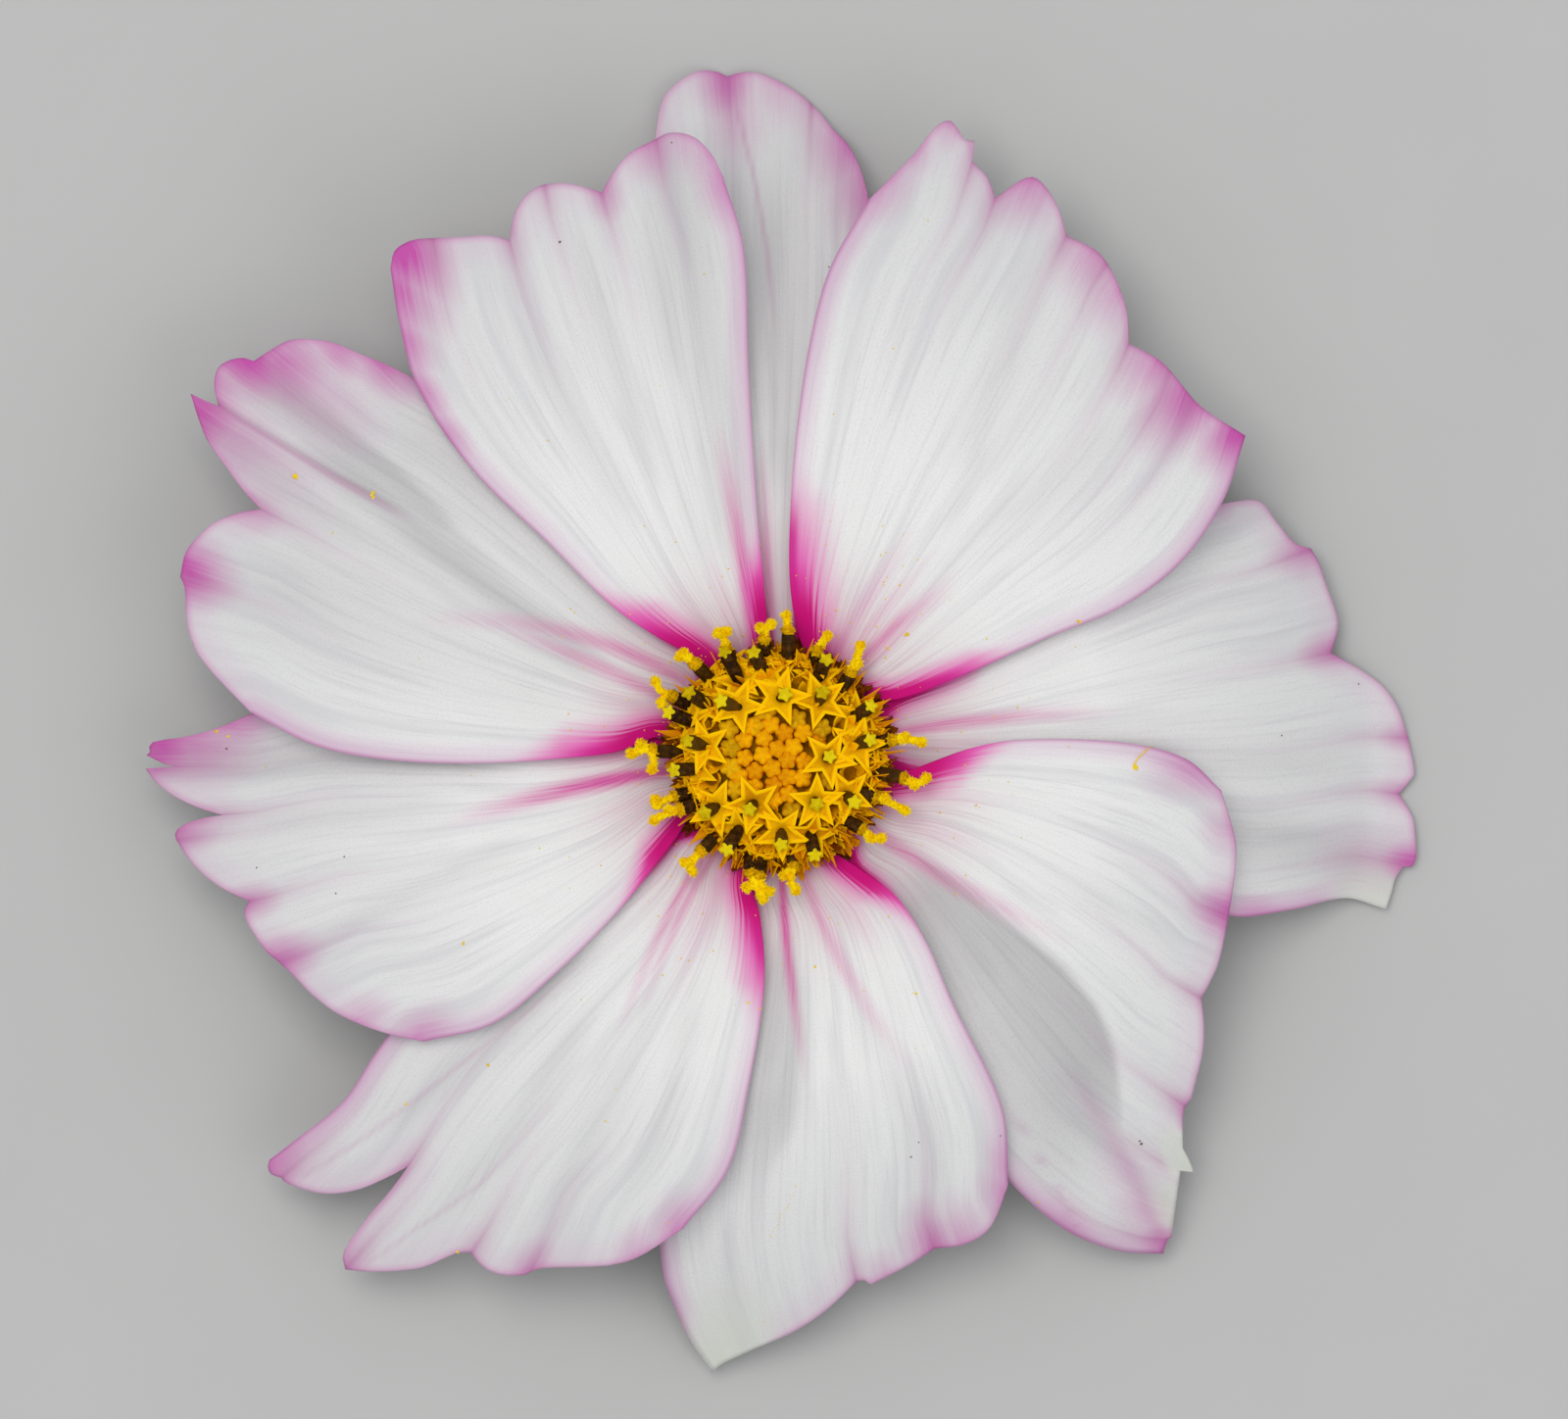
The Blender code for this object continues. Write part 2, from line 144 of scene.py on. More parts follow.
def point_values(piece, **layers):
    """Store a number for each point, or one for all, for the materials to read."""
    for name, values in layers.items():
        layer = piece.data.attributes.new(name, "FLOAT", "POINT")
        layer.data.foreach_set("value", np.full(len(piece.data.vertices), values, dtype=np.float32))


def hand_over(piece, material, replaced=None, smooth=50, scale=MM):
    """Bring a piece to metres, with its material, its smooth shading and its place in the frame."""
    piece.data.transform(Matrix.Scale(scale, 4))
    piece.data.materials.clear()
    piece.data.materials.append(material)
    select_only(piece)
    bpy.ops.object.shade_smooth_by_angle(angle=math.radians(smooth))
    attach(piece, "root")
    if replaced:
        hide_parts(replaced)


class Nodes:
    """A material's node tree, built line by line."""

    def __init__(self, name):
        self.material = bpy.data.materials.new(name)
        self.material.use_nodes = True
        self.tree = self.material.node_tree
        self.shader = self.tree.nodes["Principled BSDF"]

    def add(self, kind, **settings):
        node = self.tree.nodes.new(kind)
        for key, value in settings.items():
            setattr(node, key, value)
        return node

    def put(self, socket, value):
        """Plug a socket in, or set its number or its color."""
        if isinstance(value, bpy.types.NodeSocket):
            self.tree.links.new(value, socket)
        else:
            socket.default_value = (*value, 1) if isinstance(value, tuple) else value

    def fill(self, node, **values):
        """Put values in a node's sockets by name, and give its first output."""
        for key, value in values.items():
            self.put(node.inputs[key.replace("_", " ")], value)
        return node.outputs[0]

    def point_value(self, name):
        return self.add("ShaderNodeAttribute", attribute_name=name).outputs["Fac"]

    def math(self, operation, first, second):
        node = self.add("ShaderNodeMath", operation=operation)
        self.put(node.inputs[0], first)
        self.put(node.inputs[1], second)
        return node.outputs[0]

    def times(self, first, second):
        return self.math("MULTIPLY", first, second)

    def plus(self, first, second):
        return self.math("ADD", first, second)

    def span(self, value, low, high, start=0.0, stop=1.0, ease="SMOOTHSTEP"):
        """The value's place between low and high, eased, scaled from start to stop."""
        node = self.add("ShaderNodeMapRange", interpolation_type=ease)
        return self.fill(node, Value=value, From_Min=low, From_Max=high, To_Min=start, To_Max=stop)

    def blend(self, factor, under, over, kind="MIX"):
        node = self.add("ShaderNodeMix", data_type="RGBA", blend_type=kind)
        colors = [socket for socket in node.inputs if socket.type == "RGBA"]
        for socket, value in zip([node.inputs[0]] + colors, (factor, under, over)):
            self.put(socket, value)
        return [socket for socket in node.outputs if socket.type == "RGBA"][0]

    def grain(self, vector, scale, detail=2.0, roughness=0.5, stretch=None):
        """Noise, along a stretched copy of the vector where a stretch is given."""
        if stretch:
            mapping = self.add("ShaderNodeMapping")
            mapping.inputs["Scale"].default_value = stretch
            vector = self.fill(mapping, Vector=vector)
        node = self.add("ShaderNodeTexNoise")
        return self.fill(node, Vector=vector, Scale=scale, Detail=detail, Roughness=roughness)

    def place(self):
        return self.add("ShaderNodeTexCoord").outputs["Object"]

    def along(self):
        return self.add("ShaderNodeUVMap", uv_map="along").outputs[0]

    def finish(self, color, roughness, specular, height=None, bump=0.3, depth=0.00005):
        """The material, with its color and, from a height, its bumps. depth is in metres."""
        self.fill(self.shader, Base_Color=color, Roughness=roughness, Specular_IOR_Level=specular)
        if height:
            bumps = self.fill(self.add("ShaderNodeBump"), Strength=bump, Distance=depth, Height=height)
            self.fill(self.shader, Normal=bumps)
        return self.material


# ---------------------------------------------------------------- petals

LIFT = 0.75                # how far a petal's edge goes over or under its neighbour's
HALF_SPREAD = 22.5         # from a petal's axis to where its lift is full, in degrees
PLATEAU = 10.5
PLATEAU_RADIUS = 20.0
FALL_POWER = 1.35
CLAW_RADIUS = 5.05
BLADE = 0.8                # the space that the frame keeps for a petal
SHEET = 0.26               # a real petal's thickness
PETAL_RISE = [(CLAW_RADIUS, 8.3), (7.0, 8.6), (10.0, 9.2), (15.0, 10.1), (PLATEAU_RADIUS, PLATEAU)]
TIP_STEP = 0.3             # between two columns of a petal, at its tip
EDGE_STEP = 0.3            # between the points that a side edge is read off at
TRACE_STEP = 0.08          # the same for the tip, which keeps its corners
RIM_STEP = 0.8             # the same for the distance from the rim
STEEP_STEP = 0.35          # a column's step along a steep flank, as a share of its length
EVEN_COLUMNS = 0.22        # how far the columns are spread evenly over the tip, not by their azimuths
STRAIGHT_FROM = 12.0       # the veins inside a petal run straight from this radius out
EDGE_POWER = 2.5           # how soon, away from an edge, its bends die out
END_POWER = 1.6            # how late a column bends to its own place at the tip
COLUMN_GAP = 0.03          # least turn between two columns of a petal, in degrees
PETAL_ROWS = 84
EVEN_OUT = np.hanning(25) / np.hanning(25).sum()     # evens the tip out over about 7 mm
PLEATS = ((6.5, 0.048), (15.0, 0.031), (34.0, 0.018))     # number across a petal, depth
CREASE_WIDTHS = (0.6, 1.2)      # of the crease at a notch: at the claw and at the tip
LOBE_ARCH = 0.022          # height of a lobe between two creases, as a share of its width
WIDEST_LOBE = 9
DRAWN_OUT = 0.62           # breadth of a spot over its length along the veins
STREAK_AT = (8, 15)        # radii that a streak's azimuths are given at
UV_SIZE = (25, 33)         # across and along a petal

# The petals, anticlockwise from +X, every place as (radius, azimuth). "right" and "left" are the side edges
# from the claw outwards, "teeth" the runs of the tip from right to left, "lifts" over (+1) or under (-1) the
# neighbours, "tip" the radius and height that it falls to, "margins" the strength of the right and of the
# left edge's color, and the radius where it ends. Then, where a petal has any:
# "creases" end at the tip: radius, azimuth, depth. "lines" are fine veins that end there too.
# "strokes" are colored veins: a run from the claw out, half width, strength.
# "folds_and_shade" are broad bends with painted shade along them, some painted shade only: a run from the
# claw out, height, width to the right, to the left, painted shade.
# "streaks" start at the claw: azimuths at radius 8 and 15, strength, half width, reach.
# "blushes": radius, azimuth, size, strength. "greens": radius, azimuth, size.
NONE = dict(lines=[], strokes=[], greens=[])
PETALS = {
    "petal_1": dict(
        axis=10, lifts=(-1, -1), tip=(38, 0), margins=((0.6, 11), (0.75, 13)),
        right=[(5.05, 0), (6.4, -3), (8, -7.5), (12, -10), (16, -15), (22, -19), (29.4, -19.3),
               (33.1, -16.5), (36.3, -13.9), (39, -14)],
        teeth=[[(39.1, -12.3), (39.15, -11.1), (39.5, -9.9)], [(40.05, -9.7)],
               [(40.2, -8.9), (39.93, -6.8), (39.65, -5.3), (38.7, -3.3)], [(39.1, -2.6), (39.63, -1.5)],
               [(39.58, -0.7), (39.35, 0.9), (39.26, 1.9)], [(38.57, 5.1), (37.53, 7.4), (34.9, 10.8)],
               [(35.5, 12.5), (35.83, 14), (35.7, 17.7), (35.7, 20), (35.54, 21.5)],
               [(34.71, 22.7), (34.2, 25.5), (33.8, 28.2), (31.5, 30)]],
        left=[(5.05, 20), (6.4, 24), (8, 29), (12, 28), (16, 29.5), (22, 31), (28, 31.5), (31.5, 30)],
        creases=[(34.9, 10.8, 0.36), (39.2, 2, 0.2), (38.8, -3.3, 0.28), (35.5, 21.5, 0.22)],
        lines=[(39.9, -9.7)],
        folds_and_shade=[([(25, -8), (33, -9.5), (46, -11)], -0.2, 2, 1.5, 0.42),
               ([(18, -1), (27, -0.6), (36, -0.4)], -0.08, 1.2, 1.2, 0.22)],
        streaks=[(12.5, 10, 0.62, 0.42, 24), (5, 3, 0.18, 0.6, 18), (19, 20, 0.15, 0.5, 16)],
        blushes=[(40.1, -9.5, 1.6, 1.3), (37.4, -9.6, 3, 0.3), (35.5, 21.5, 2, 0.7), (35, 11, 1.6, 0.7),
                 (39.2, 1.9, 1.2, 0.5), (38.8, -3.2, 1.2, 0.4), (31, -18, 1.6, 0.5)],
        greens=[(39, -13.9, 2.2)]),
    "petal_2": dict(
        axis=55, lifts=(1, 1), tip=(40.8, 5.5), margins=((0.7, 13.5), (1.35, 16)),
        right=[(5.05, 45), (6.4, 37), (8, 27), (12, 24.5), (18, 24.3), (23, 23.9), (27.5, 26), (31.6, 30.1),
               (35, 34.7)],
        teeth=[[(33.9, 40), (34, 46), (33.5, 49.9)], [(35.3, 52.8), (36.9, 57.3), (36.9, 61.2)],
               [(38.5, 63.8), (39.2, 66.5), (37.1, 68.9)], [(38.2, 70.4), (38.8, 72.1)], [(40.05, 72.45)],
               [(40, 73.4), (40.5, 74.2), (40.85, 75.1), (40.2, 76.1), (38.3, 77.4), (35, 80.8)]],
        left=[(5.05, 66), (6.4, 74), (8, 82), (11, 86.6), (15, 87.4), (20, 87), (26, 85.7), (30.5, 84),
              (35, 80.8)],
        creases=[(33.5, 49.9, 0.4), (36.9, 61.2, 0.34), (37.1, 68.9, 0.38), (33.9, 41, 0.18),
                 (36.6, 56.5, 0.14)],
        lines=[(38.8, 72.1), (34, 45)],
        folds_and_shade=[([(20, 58), (28, 60), (35, 62.5)], -0.05, 1.2, 1.2, 0.16),
               ([(18, 46), (27, 44), (33, 43)], -0.06, 1.2, 1.2, 0.18)],
        streaks=[(50, 46, 0.55, 0.6, 17.5), (62, 60, 0.3, 0.6, 19), (56, 53.5, 0.24, 0.5, 19),
                 (70, 71, 0.16, 0.5, 15)],
        blushes=[(39.4, 66.5, 2.6, 0.8), (37.2, 58, 2.6, 0.7), (36, 54, 2.4, 0.6), (34.5, 46, 2.8, 0.9),
                 (34.2, 41.2, 3.2, 1.15), (35, 35.2, 2.4, 1.35), (40.9, 74.9, 1.4, 0.55),
                 (36.5, 79.5, 2.2, 0.5), (38.6, 77.4, 1.4, 0.5)]),
    "petal_3": dict(
        axis=92, lifts=(-1, -1), tip=(41, 0), margins=((0.3, 14), (0.3, 14)),
        right=[(5.05, 85), (6.4, 82.5), (8, 80.5), (14, 82), (20, 80), (28, 79), (35, 80.8)],
        teeth=[[(36.9, 82.1), (38.4, 83.6), (39.3, 85.1), (40.4, 86.5), (41.5, 88.4), (42.6, 91.15),
                (42.85, 92.8), (42.65, 94.4)],
               [(43, 95.3), (43.15, 96.6), (42.9, 97.8), (42.2, 99.4), (41.4, 100.3), (39, 101.5)]],
        left=[(5.05, 96), (6.4, 96.5), (8, 97), (14, 101), (20, 103), (28, 104), (35, 103), (39, 101.5)],
        creases=[(42.65, 94.4, 0.4), (40.8, 87.2, 0.12)],
        lines=[(42.65, 94.4)],
        strokes=[([(26, 90.6), (31, 91.3), (35.8, 92.4), (40.2, 93.6), (46, 95)], 0.16, 0.35)],
        folds_and_shade=[([(16, 90.5), (24, 90.6), (36, 90.3)], -0.22, 1.2, 1.6, 0.4),
               ([(20, 95.5), (28, 95.5), (35, 95)], -0.06, 1.2, 1.5, 0.35)],
        streaks=[(93.8, 93.6, 0.62, 0.42, 22), (98, 98, 0.3, 0.8, 30)],
        blushes=[(42.4, 94.5, 2.2, 1), (40.5, 93.8, 2.6, 0.45), (38.6, 83.4, 2.8, 0.9), (36, 81.4, 3, 0.75),
                 (42.3, 90, 2.6, 0.4)]),
    "petal_4": dict(
        axis=112, lifts=(1, 1), tip=(39.3, 8), margins=((0.75, 11), (1, 12.2)),
        right=[(5.05, 104), (6.4, 99.5), (8, 95.4), (15, 95.1), (24, 94.5), (31.6, 94), (36, 95.5)],
        teeth=[[(37.4, 96.3), (38.7, 97.8), (39.2, 99.8), (38.9, 101.7), (38.5, 103.8), (37.8, 105.4),
                (36.6, 107.4)],
               [(37.5, 109.4), (38, 110.9), (38.3, 112.8), (38.1, 114.2), (37.4, 115.8), (36, 117.5)],
               [(36.5, 118.2), (37.1, 119.6), (37.7, 121.4), (38.6, 123.7), (39.2, 125.4), (39.3, 127.1),
                (38.6, 128.4)]],
        left=[(5.05, 123), (6.4, 126), (8, 129), (10.6, 135), (14, 137.6), (19.4, 137), (26, 136.7),
              (31.8, 134.3), (35.5, 131.2), (38.6, 128.4)],
        creases=[(36.6, 107.4, 0.4), (36, 117.5, 0.4), (38.6, 123.7, 0.16), (38.9, 101.3, 0.2)],
        lines=[(38.3, 112.5)],
        folds_and_shade=[([(22, 104.8), (28, 104.4), (35, 103.8)], -0.1, 0.8, 0.9, 0.34),
               ([(12, 99.8), (22, 100), (40, 100.4)], 0, 2.2, 2, 0.42),
               ([(18, 113.5), (27, 111.8), (36, 111)], -0.06, 0.8, 0.9, 0.22),
               ([(16, 122), (25, 121), (33, 119.6)], -0.05, 0.9, 0.9, 0.22)],
        streaks=[(100.3, 100.3, 0.85, 0.5, 23), (110, 109, 0.16, 0.6, 16), (120, 121, 0.14, 0.8, 16)],
        blushes=[(39.2, 126.6, 3.2, 1.35), (37.2, 129, 2.8, 0.95), (34.4, 131.6, 1.9, 0.7),
                 (31.5, 134.2, 1.6, 0.6), (28.6, 135.7, 1.4, 0.5), (38.9, 102, 2, 0.6),
                 (36.6, 107.2, 1.4, 0.5), (38.8, 98.5, 2, 0.4), (35.6, 95.6, 2, 0.55),
                 (37.2, 96.6, 1.8, 0.5)]),
    "petal_5": dict(
        axis=153, lifts=(-1, 1), tip=(42.5, 6.5), margins=((0.4, 14), (1, 13.5)),
        right=[(5.05, 142), (6.4, 134), (8, 127.5), (10.6, 131.5), (14, 133), (22, 131), (28, 131.5),
               (32.5, 133.9)],
        teeth=[[(34, 134.7), (35.8, 135.9), (37.65, 137), (38.8, 138.1), (39.8, 139.5), (40.35, 141.3),
                (40.75, 142.9)],
               [(41.3, 143.15), (42, 144.1), (42.3, 145.2), (42, 146.3), (41.4, 147.3), (40.8, 147.9)],
               [(42.8, 148.2)], [(41.6, 149.6), (40.3, 151), (38.6, 152.2), (37, 153.4), (35.5, 154.3)],
               [(36.5, 155.4), (37.8, 157.3), (38.4, 159), (38.8, 160.8), (38.67, 163.1)],
               [(38.2, 164), (37.4, 167.5), (36.2, 170.2), (32.7, 175)]],
        left=[(5.05, 164), (6.4, 167), (8, 171), (10, 177.5), (13.1, 179.8), (18, 180.9), (24, 180.2),
              (28.7, 178.3), (32.7, 175)],
        creases=[(35.5, 154.3, 0.4), (38.67, 163.1, 0.2)],
        strokes=[([(27, 147.2), (32.5, 147.8), (46, 148.1)], 0.24, 0.5),
                 ([(33, 148.9), (38, 149.2), (46, 149.4)], 0.7, 0.3)],
        folds_and_shade=[([(22.3, 146.3), (26.1, 144.7), (29.8, 143.6), (35.2, 143.3), (46, 142.6)], -0.45, 0.8, 1.7,
                0.72), ([(27, 147.2), (32.5, 147.8), (46, 148.1)], 0.5, 0.22, 2.4, 0),
               ([(18, 154), (26, 151.5), (46, 150.6)], -0.1, 0.9, 1.4, 0.34),
               ([(11, 153), (19, 150.2), (22.6, 148.6), (29, 146.8), (36, 145.6)], -0.1, 1.7, 1.6, 0.68),
               ([(9, 139), (20, 139.5), (34, 139)], 0, 2.4, 2.6, 0.34),
               ([(12, 148), (20, 149), (32, 151)], 0, 0.5, 0.7, 0.3),
               ([(12, 159), (22, 160.5), (36, 160)], 0, 4, 4, 0.28)],
        streaks=[(141, 149, 0.55, 0.5, 27), (152, 153.5, 0.5, 0.45, 24), (160, 160, 0.15, 0.7, 16)],
        blushes=[(41.2, 143.2, 2.6, 1.25), (39.4, 141.4, 3.2, 0.9), (36.8, 141.5, 4, 0.4),
                 (38.9, 162.6, 2.6, 1.35), (42, 149.2, 2.6, 1.25), (39.4, 149.5, 3.2, 0.5),
                 (36, 150.8, 4.2, 0.2), (42, 146.2, 2, 0.7), (37, 137.4, 1.8, 0.75), (34.4, 135.2, 2, 0.9),
                 (36.2, 155, 1.8, 0.5)]),
    "petal_6": dict(
        axis=197, lifts=(-1, 1), tip=(39.3, 5), margins=((0.5, 13), (0.85, 10)),
        right=[(5.05, 185), (6.4, 177), (8, 169.5), (10.5, 174.5), (15, 176), (22, 173.5), (28, 173),
               (32.7, 175.1)],
        teeth=[[(34.4, 176.6), (36.05, 177.6), (37.7, 178.2), (38.7, 178.4), (39.05, 178.9), (39, 179.4)],
               [(39.2, 179.7)], [(38.1, 180.5), (37.5, 180.8)], [(39.28, 181)],
               [(38.67, 182.2), (37.41, 183.7), (35.99, 184.9), (34.6, 185.8)],
               [(35.7, 185.95), (36.7, 186.2), (37.4, 186.6), (37.7, 187.2)], [(37.66, 187.7)],
               [(37.17, 189.4), (36.4, 191.3), (35.31, 193.2), (33.9, 195.1)],
               [(34.35, 195.8), (34.45, 196.7), (34.28, 198.2), (33.88, 200.5), (33.38, 202.1)],
               [(32.75, 204.6), (32.29, 206.9), (31.4, 210.2), (29.75, 214.5), (28, 218.5)]],
        left=[(5.05, 208), (6.4, 212), (8, 217.5), (10.4, 221), (14, 223.6), (19.2, 223.9), (24, 222.8),
              (28, 218.5)],
        creases=[(37.5, 180.8, 0.2), (34.6, 185.8, 0.16), (33.9, 195.1, 0.3), (33.3, 202.2, 0.18)],
        lines=[(39, 179.4), (37.66, 187.7)],
        folds_and_shade=[([(16, 179.5), (26, 179.8), (46, 180)], -0.18, 2, 1.3, 0.45),
               ([(20, 188.5), (27, 187.5), (34, 187)], -0.06, 1, 1, 0.2),
               ([(16, 200), (24, 200), (31, 202)], -0.06, 1, 0.8, 0.2)],
        streaks=[(186.5, 189, 0.95, 0.5, 23), (178, 181, 0.3, 0.6, 18), (198, 199, 0.12, 0.8, 16)],
        blushes=[(39, 178.8, 2.6, 1.4), (36.4, 178.6, 3.2, 0.7), (33.8, 176.4, 1.8, 0.8),
                 (37.6, 187, 1.8, 0.8), (33.4, 202, 2, 0.9), (33.9, 195.3, 1.4, 0.6), (30.5, 212, 1.8, 0.5),
                 (28, 217.5, 2, 0.6), (39.2, 181.2, 1, 0.6)]),
    "petal_7": dict(
        axis=241, lifts=(-1, 1), tip=(41.6, 3.5), margins=((0.4, 13), (1, 14)),
        right=[(5.05, 230), (6.4, 222.5), (8, 216), (10.5, 218.5), (14, 217), (20, 213), (26, 213),
               (30.8, 216.1), (34.3, 218.2), (38.4, 218.3), (40.25, 218.25)],
        teeth=[[(40.6, 218.6), (40.75, 219.3), (40.4, 220.1)],
               [(40.4, 220.6), (39.94, 221.9), (38.94, 223.9), (37.41, 225.6), (35.69, 226.8),
                (34.1, 227.7)],
               [(35.2, 227.98), (36.8, 228.08), (38.6, 228.2), (40.2, 228.4), (41.1, 228.8), (41.6, 229.7)],
               [(40.76, 231.4), (39.69, 233.2), (38.49, 235), (37.11, 236.3), (36.47, 237), (36.05, 238.1)],
               [(36.3, 238.9), (36.45, 240.4), (36.25, 241.9), (35.66, 243.7)],
               [(35, 244.6), (34.49, 245.9), (33.72, 248.7), (32.97, 251.6), (31.98, 254.2),
                (29.6, 258.4)]],
        left=[(5.05, 251), (6.4, 254), (8, 257.5), (10, 263.4), (14, 266.2), (20.3, 264.7), (25.5, 262.9),
              (29.6, 258.4)],
        creases=[(34.1, 227.9, 0.08), (36.1, 238.1, 0.3), (35.4, 244.2, 0.14)],
        lines=[(40.4, 220.1), (41.5, 229.9)],
        strokes=[([(18, 226), (28, 223.7), (35, 222.4), (46, 219.6)], 0.18, 0.22),
                 ([(24, 236.9), (32, 235), (37, 232.2), (46, 228.6)], 0.16, 0.2)],
        folds_and_shade=[([(16, 224.5), (24, 224.2), (33, 223.4)], -0.1, 1.2, 1.2, 0.3),
               ([(18, 233.5), (27, 234.5), (36, 233.6)], -0.08, 0.9, 0.9, 0.22),
               ([(14, 243), (24, 243.5), (32, 243.5)], -0.08, 1, 0.9, 0.24),
               ([(14, 250), (22, 252.5), (29, 251)], -0.06, 0.8, 0.8, 0.2)],
        streaks=[(232.6, 237, 0.55, 0.34, 22), (236, 240, 0.5, 0.34, 20), (244, 246, 0.22, 0.8, 20)],
        blushes=[(40.5, 218.8, 2.2, 0.78), (38.6, 220.4, 2.6, 0.2), (41.3, 229.3, 1.8, 0.38),
                 (35.6, 244, 1.8, 0.5), (32, 254, 1.8, 0.5), (29.8, 257.6, 2, 0.6)]),
    "petal_8": dict(
        axis=283, lifts=(-1, 1), tip=(38.5, 1.2), margins=((0.4, 13), (0.85, 10)),
        right=[(5.05, 272), (6.4, 264), (8, 256), (10.5, 259.5), (14, 257.5), (22, 254), (28, 254.5),
               (32.7, 257.3), (34.35, 258.9), (36.5, 261.2), (38.45, 263.8)],
        teeth=[[(37.9, 264.5), (37.4, 265.7), (36.6, 268), (35.6, 271.5), (34.37, 274.8), (32.75, 278.4)],
               [(32.75, 279.3)], [(33.1, 279.9)], [(32.77, 281.8), (32.29, 284.8), (31.81, 287.6)],
               [(32.17, 290.7), (32.06, 293.1), (31.55, 294.9), (29.9, 298.2)]],
        left=[(5.05, 293), (6.4, 299), (8, 305), (11, 310.2), (14.3, 308.9), (18.5, 305.4), (25.5, 302.6),
              (29.9, 298.2)],
        creases=[(32.75, 278.6, 0.24), (31.8, 287.6, 0.26)],
        folds_and_shade=[([(9.5, 270), (14.1, 273.3), (17.6, 273), (22.8, 270.8), (26, 267)], -0.22, 4.2, 0.7, 0.62),
               ([(20, 291), (26, 291), (31, 289.5)], -0.1, 1, 1, 0.18),
               ([(14, 287), (20, 290), (26, 289)], -0.05, 0.8, 0.8, 0.16)],
        streaks=[(271.5, 273.5, 0.85, 0.32, 22), (283, 288.5, 0.42, 0.5, 24), (297, 297, 0.2, 0.8, 16)],
        blushes=[(31.7, 287.6, 2.2, 0.8), (31.8, 291, 2.2, 0.55), (30.6, 297, 1.8, 0.6),
                 (32.9, 281.6, 1.4, 0.4), (29, 299.2, 1.8, 0.4)],
        greens=[(37.6, 265.2, 2.8)]),
    "petal_9": dict(
        axis=-27, lifts=(-1, 1), tip=(39, 1.8), margins=((0.5, 12), (1, 11.3)),
        right=[(5.05, -40), (6.4, -49), (8, -56.5), (10.5, -53.5), (14, -57), (20, -62), (26, -63),
               (29.7, -61.5), (34.1, -58.8), (37.1, -55.5), (39, -52.2)],
        teeth=[[(38.7, -51.7), (38.45, -51)], [(38.5, -50.6)],
               [(38.1, -50.1), (37.2, -48.6), (35.7, -45.8)], [(36.4, -44.9)],
               [(35.62, -44.4), (34.8, -44)], [(33.9, -42.5), (33.2, -41), (33.1, -39.5)],
               [(32.52, -37.4), (31.98, -35.1), (31.13, -32.5), (30, -29.6)],
               [(29.99, -27.6), (29.92, -24.9), (29.4, -19.3)],
               [(29.17, -16.4), (28.94, -13.2), (28.54, -9.9), (27.3, -4.1)]],
        left=[(5.05, -16), (6.4, -12), (8, -5.5), (11.9, 3.2), (15.1, 4.5), (21.2, 2.7), (25, 0),
              (27.3, -4.1)],
        creases=[(35.8, -45.6, 0.24), (33.1, -40.4, 0.22), (30, -29.6, 0.3), (29.4, -19.3, 0.26)],
        lines=[(38.45, -51)],
        strokes=[([(26, -47.2), (31, -48.6), (34.8, -50), (46, -53)], 0.62, 0.3),
                 ([(24, -56.5), (31, -57), (37, -58)], 0.12, 0.25)],
        folds_and_shade=[([(8.7, -36), (12.1, -36.9), (21.6, -37.3), (24.8, -38.9), (27.5, -41.9), (31.4, -48.1)],
                -0.4, 8, 0.45, 0.85), ([(17, -23), (22, -23.5), (27, -25)], -0.06, 0.9, 0.9, 0.18)],
        streaks=[(-37, -34.5, 0.48, 0.55, 24), (-25, -24, 0.16, 0.8, 18), (-14, -10, 0.18, 0.6, 18)],
        blushes=[(29.7, -19, 2.1, 1.15), (27.6, -18.6, 2.6, 0.15), (38.6, -51.6, 1.5, 0.9),
                 (36.2, -51, 2.2, 0.45), (33.6, -50.2, 2.2, 0.28), (28.6, -9, 1.8, 0.5),
                 (25.4, -1.5, 2.4, 0.6), (34, -58.4, 2, 0.45), (33.3, -40.8, 1, 0.5)],
        greens=[(37.4, -48.6, 1.3), (36.2, -45, 1.2), (34.8, -44.3, 1)]),
}

# Grains of pollen that fell on the petals, besides the scattered ones: radius, azimuth, size
GRAINS = [(20.3, 24.6, 0.2), (29.8, 147.1, 0.34), (34.5, 149.7, 0.26), (21.8, -1.1, 0.3), (36.6, 237.0, 0.16),
          (34.9, 177.2, 0.2), (34.1, 177.6, 0.16), (11.0, 44.0, 0.24), (9.5, 45.6, 0.16), (16.7, 300.0, 0.16),
          (13.0, 279.8, 0.16), (15.2, 263.0, 0.18), (26.0, 226.5, 0.16), (31.4, 222.8, 0.14),
          (22.5, 210.4, 0.18)]
# Dark flecks: radius, azimuth, size
FLECKS = [(32.8, 313.2, 0.13), (32.6, 313.3, 0.1), (34.6, 113.0, 0.11), (36.4, 7.3, 0.08), (31.2, 2.6, 0.08),
          (25.9, 288.3, 0.09), (25.2, 290.0, 0.08), (38.6, 99.9, 0.08), (30.6, 84.2, 0.08),
          (30.4, 213.0, 0.1), (28.6, 196.9, 0.08), (33.0, 191.8, 0.08), (27.5, 192.7, 0.08),
          (34.2, 179.0, 0.1), (27.0, 300.4, 0.07)]
# A thread of pollen that fell whole, and one that broke into specks: radius, azimuth
FALLEN_THREAD = [(21.83, -1.06), (22.05, -0.1), (22.3, 0.6), (22.7, 1.5), (23.08, 1.7)]
BROKEN_THREAD = [(26.3, 272.5), (29.7, 268.9)]
THREAD_SPECKS = 16
POLLEN_SPECKS = 170
NEAR_SHARE = 0.72          # of the scattered specks, those that lie near the disc


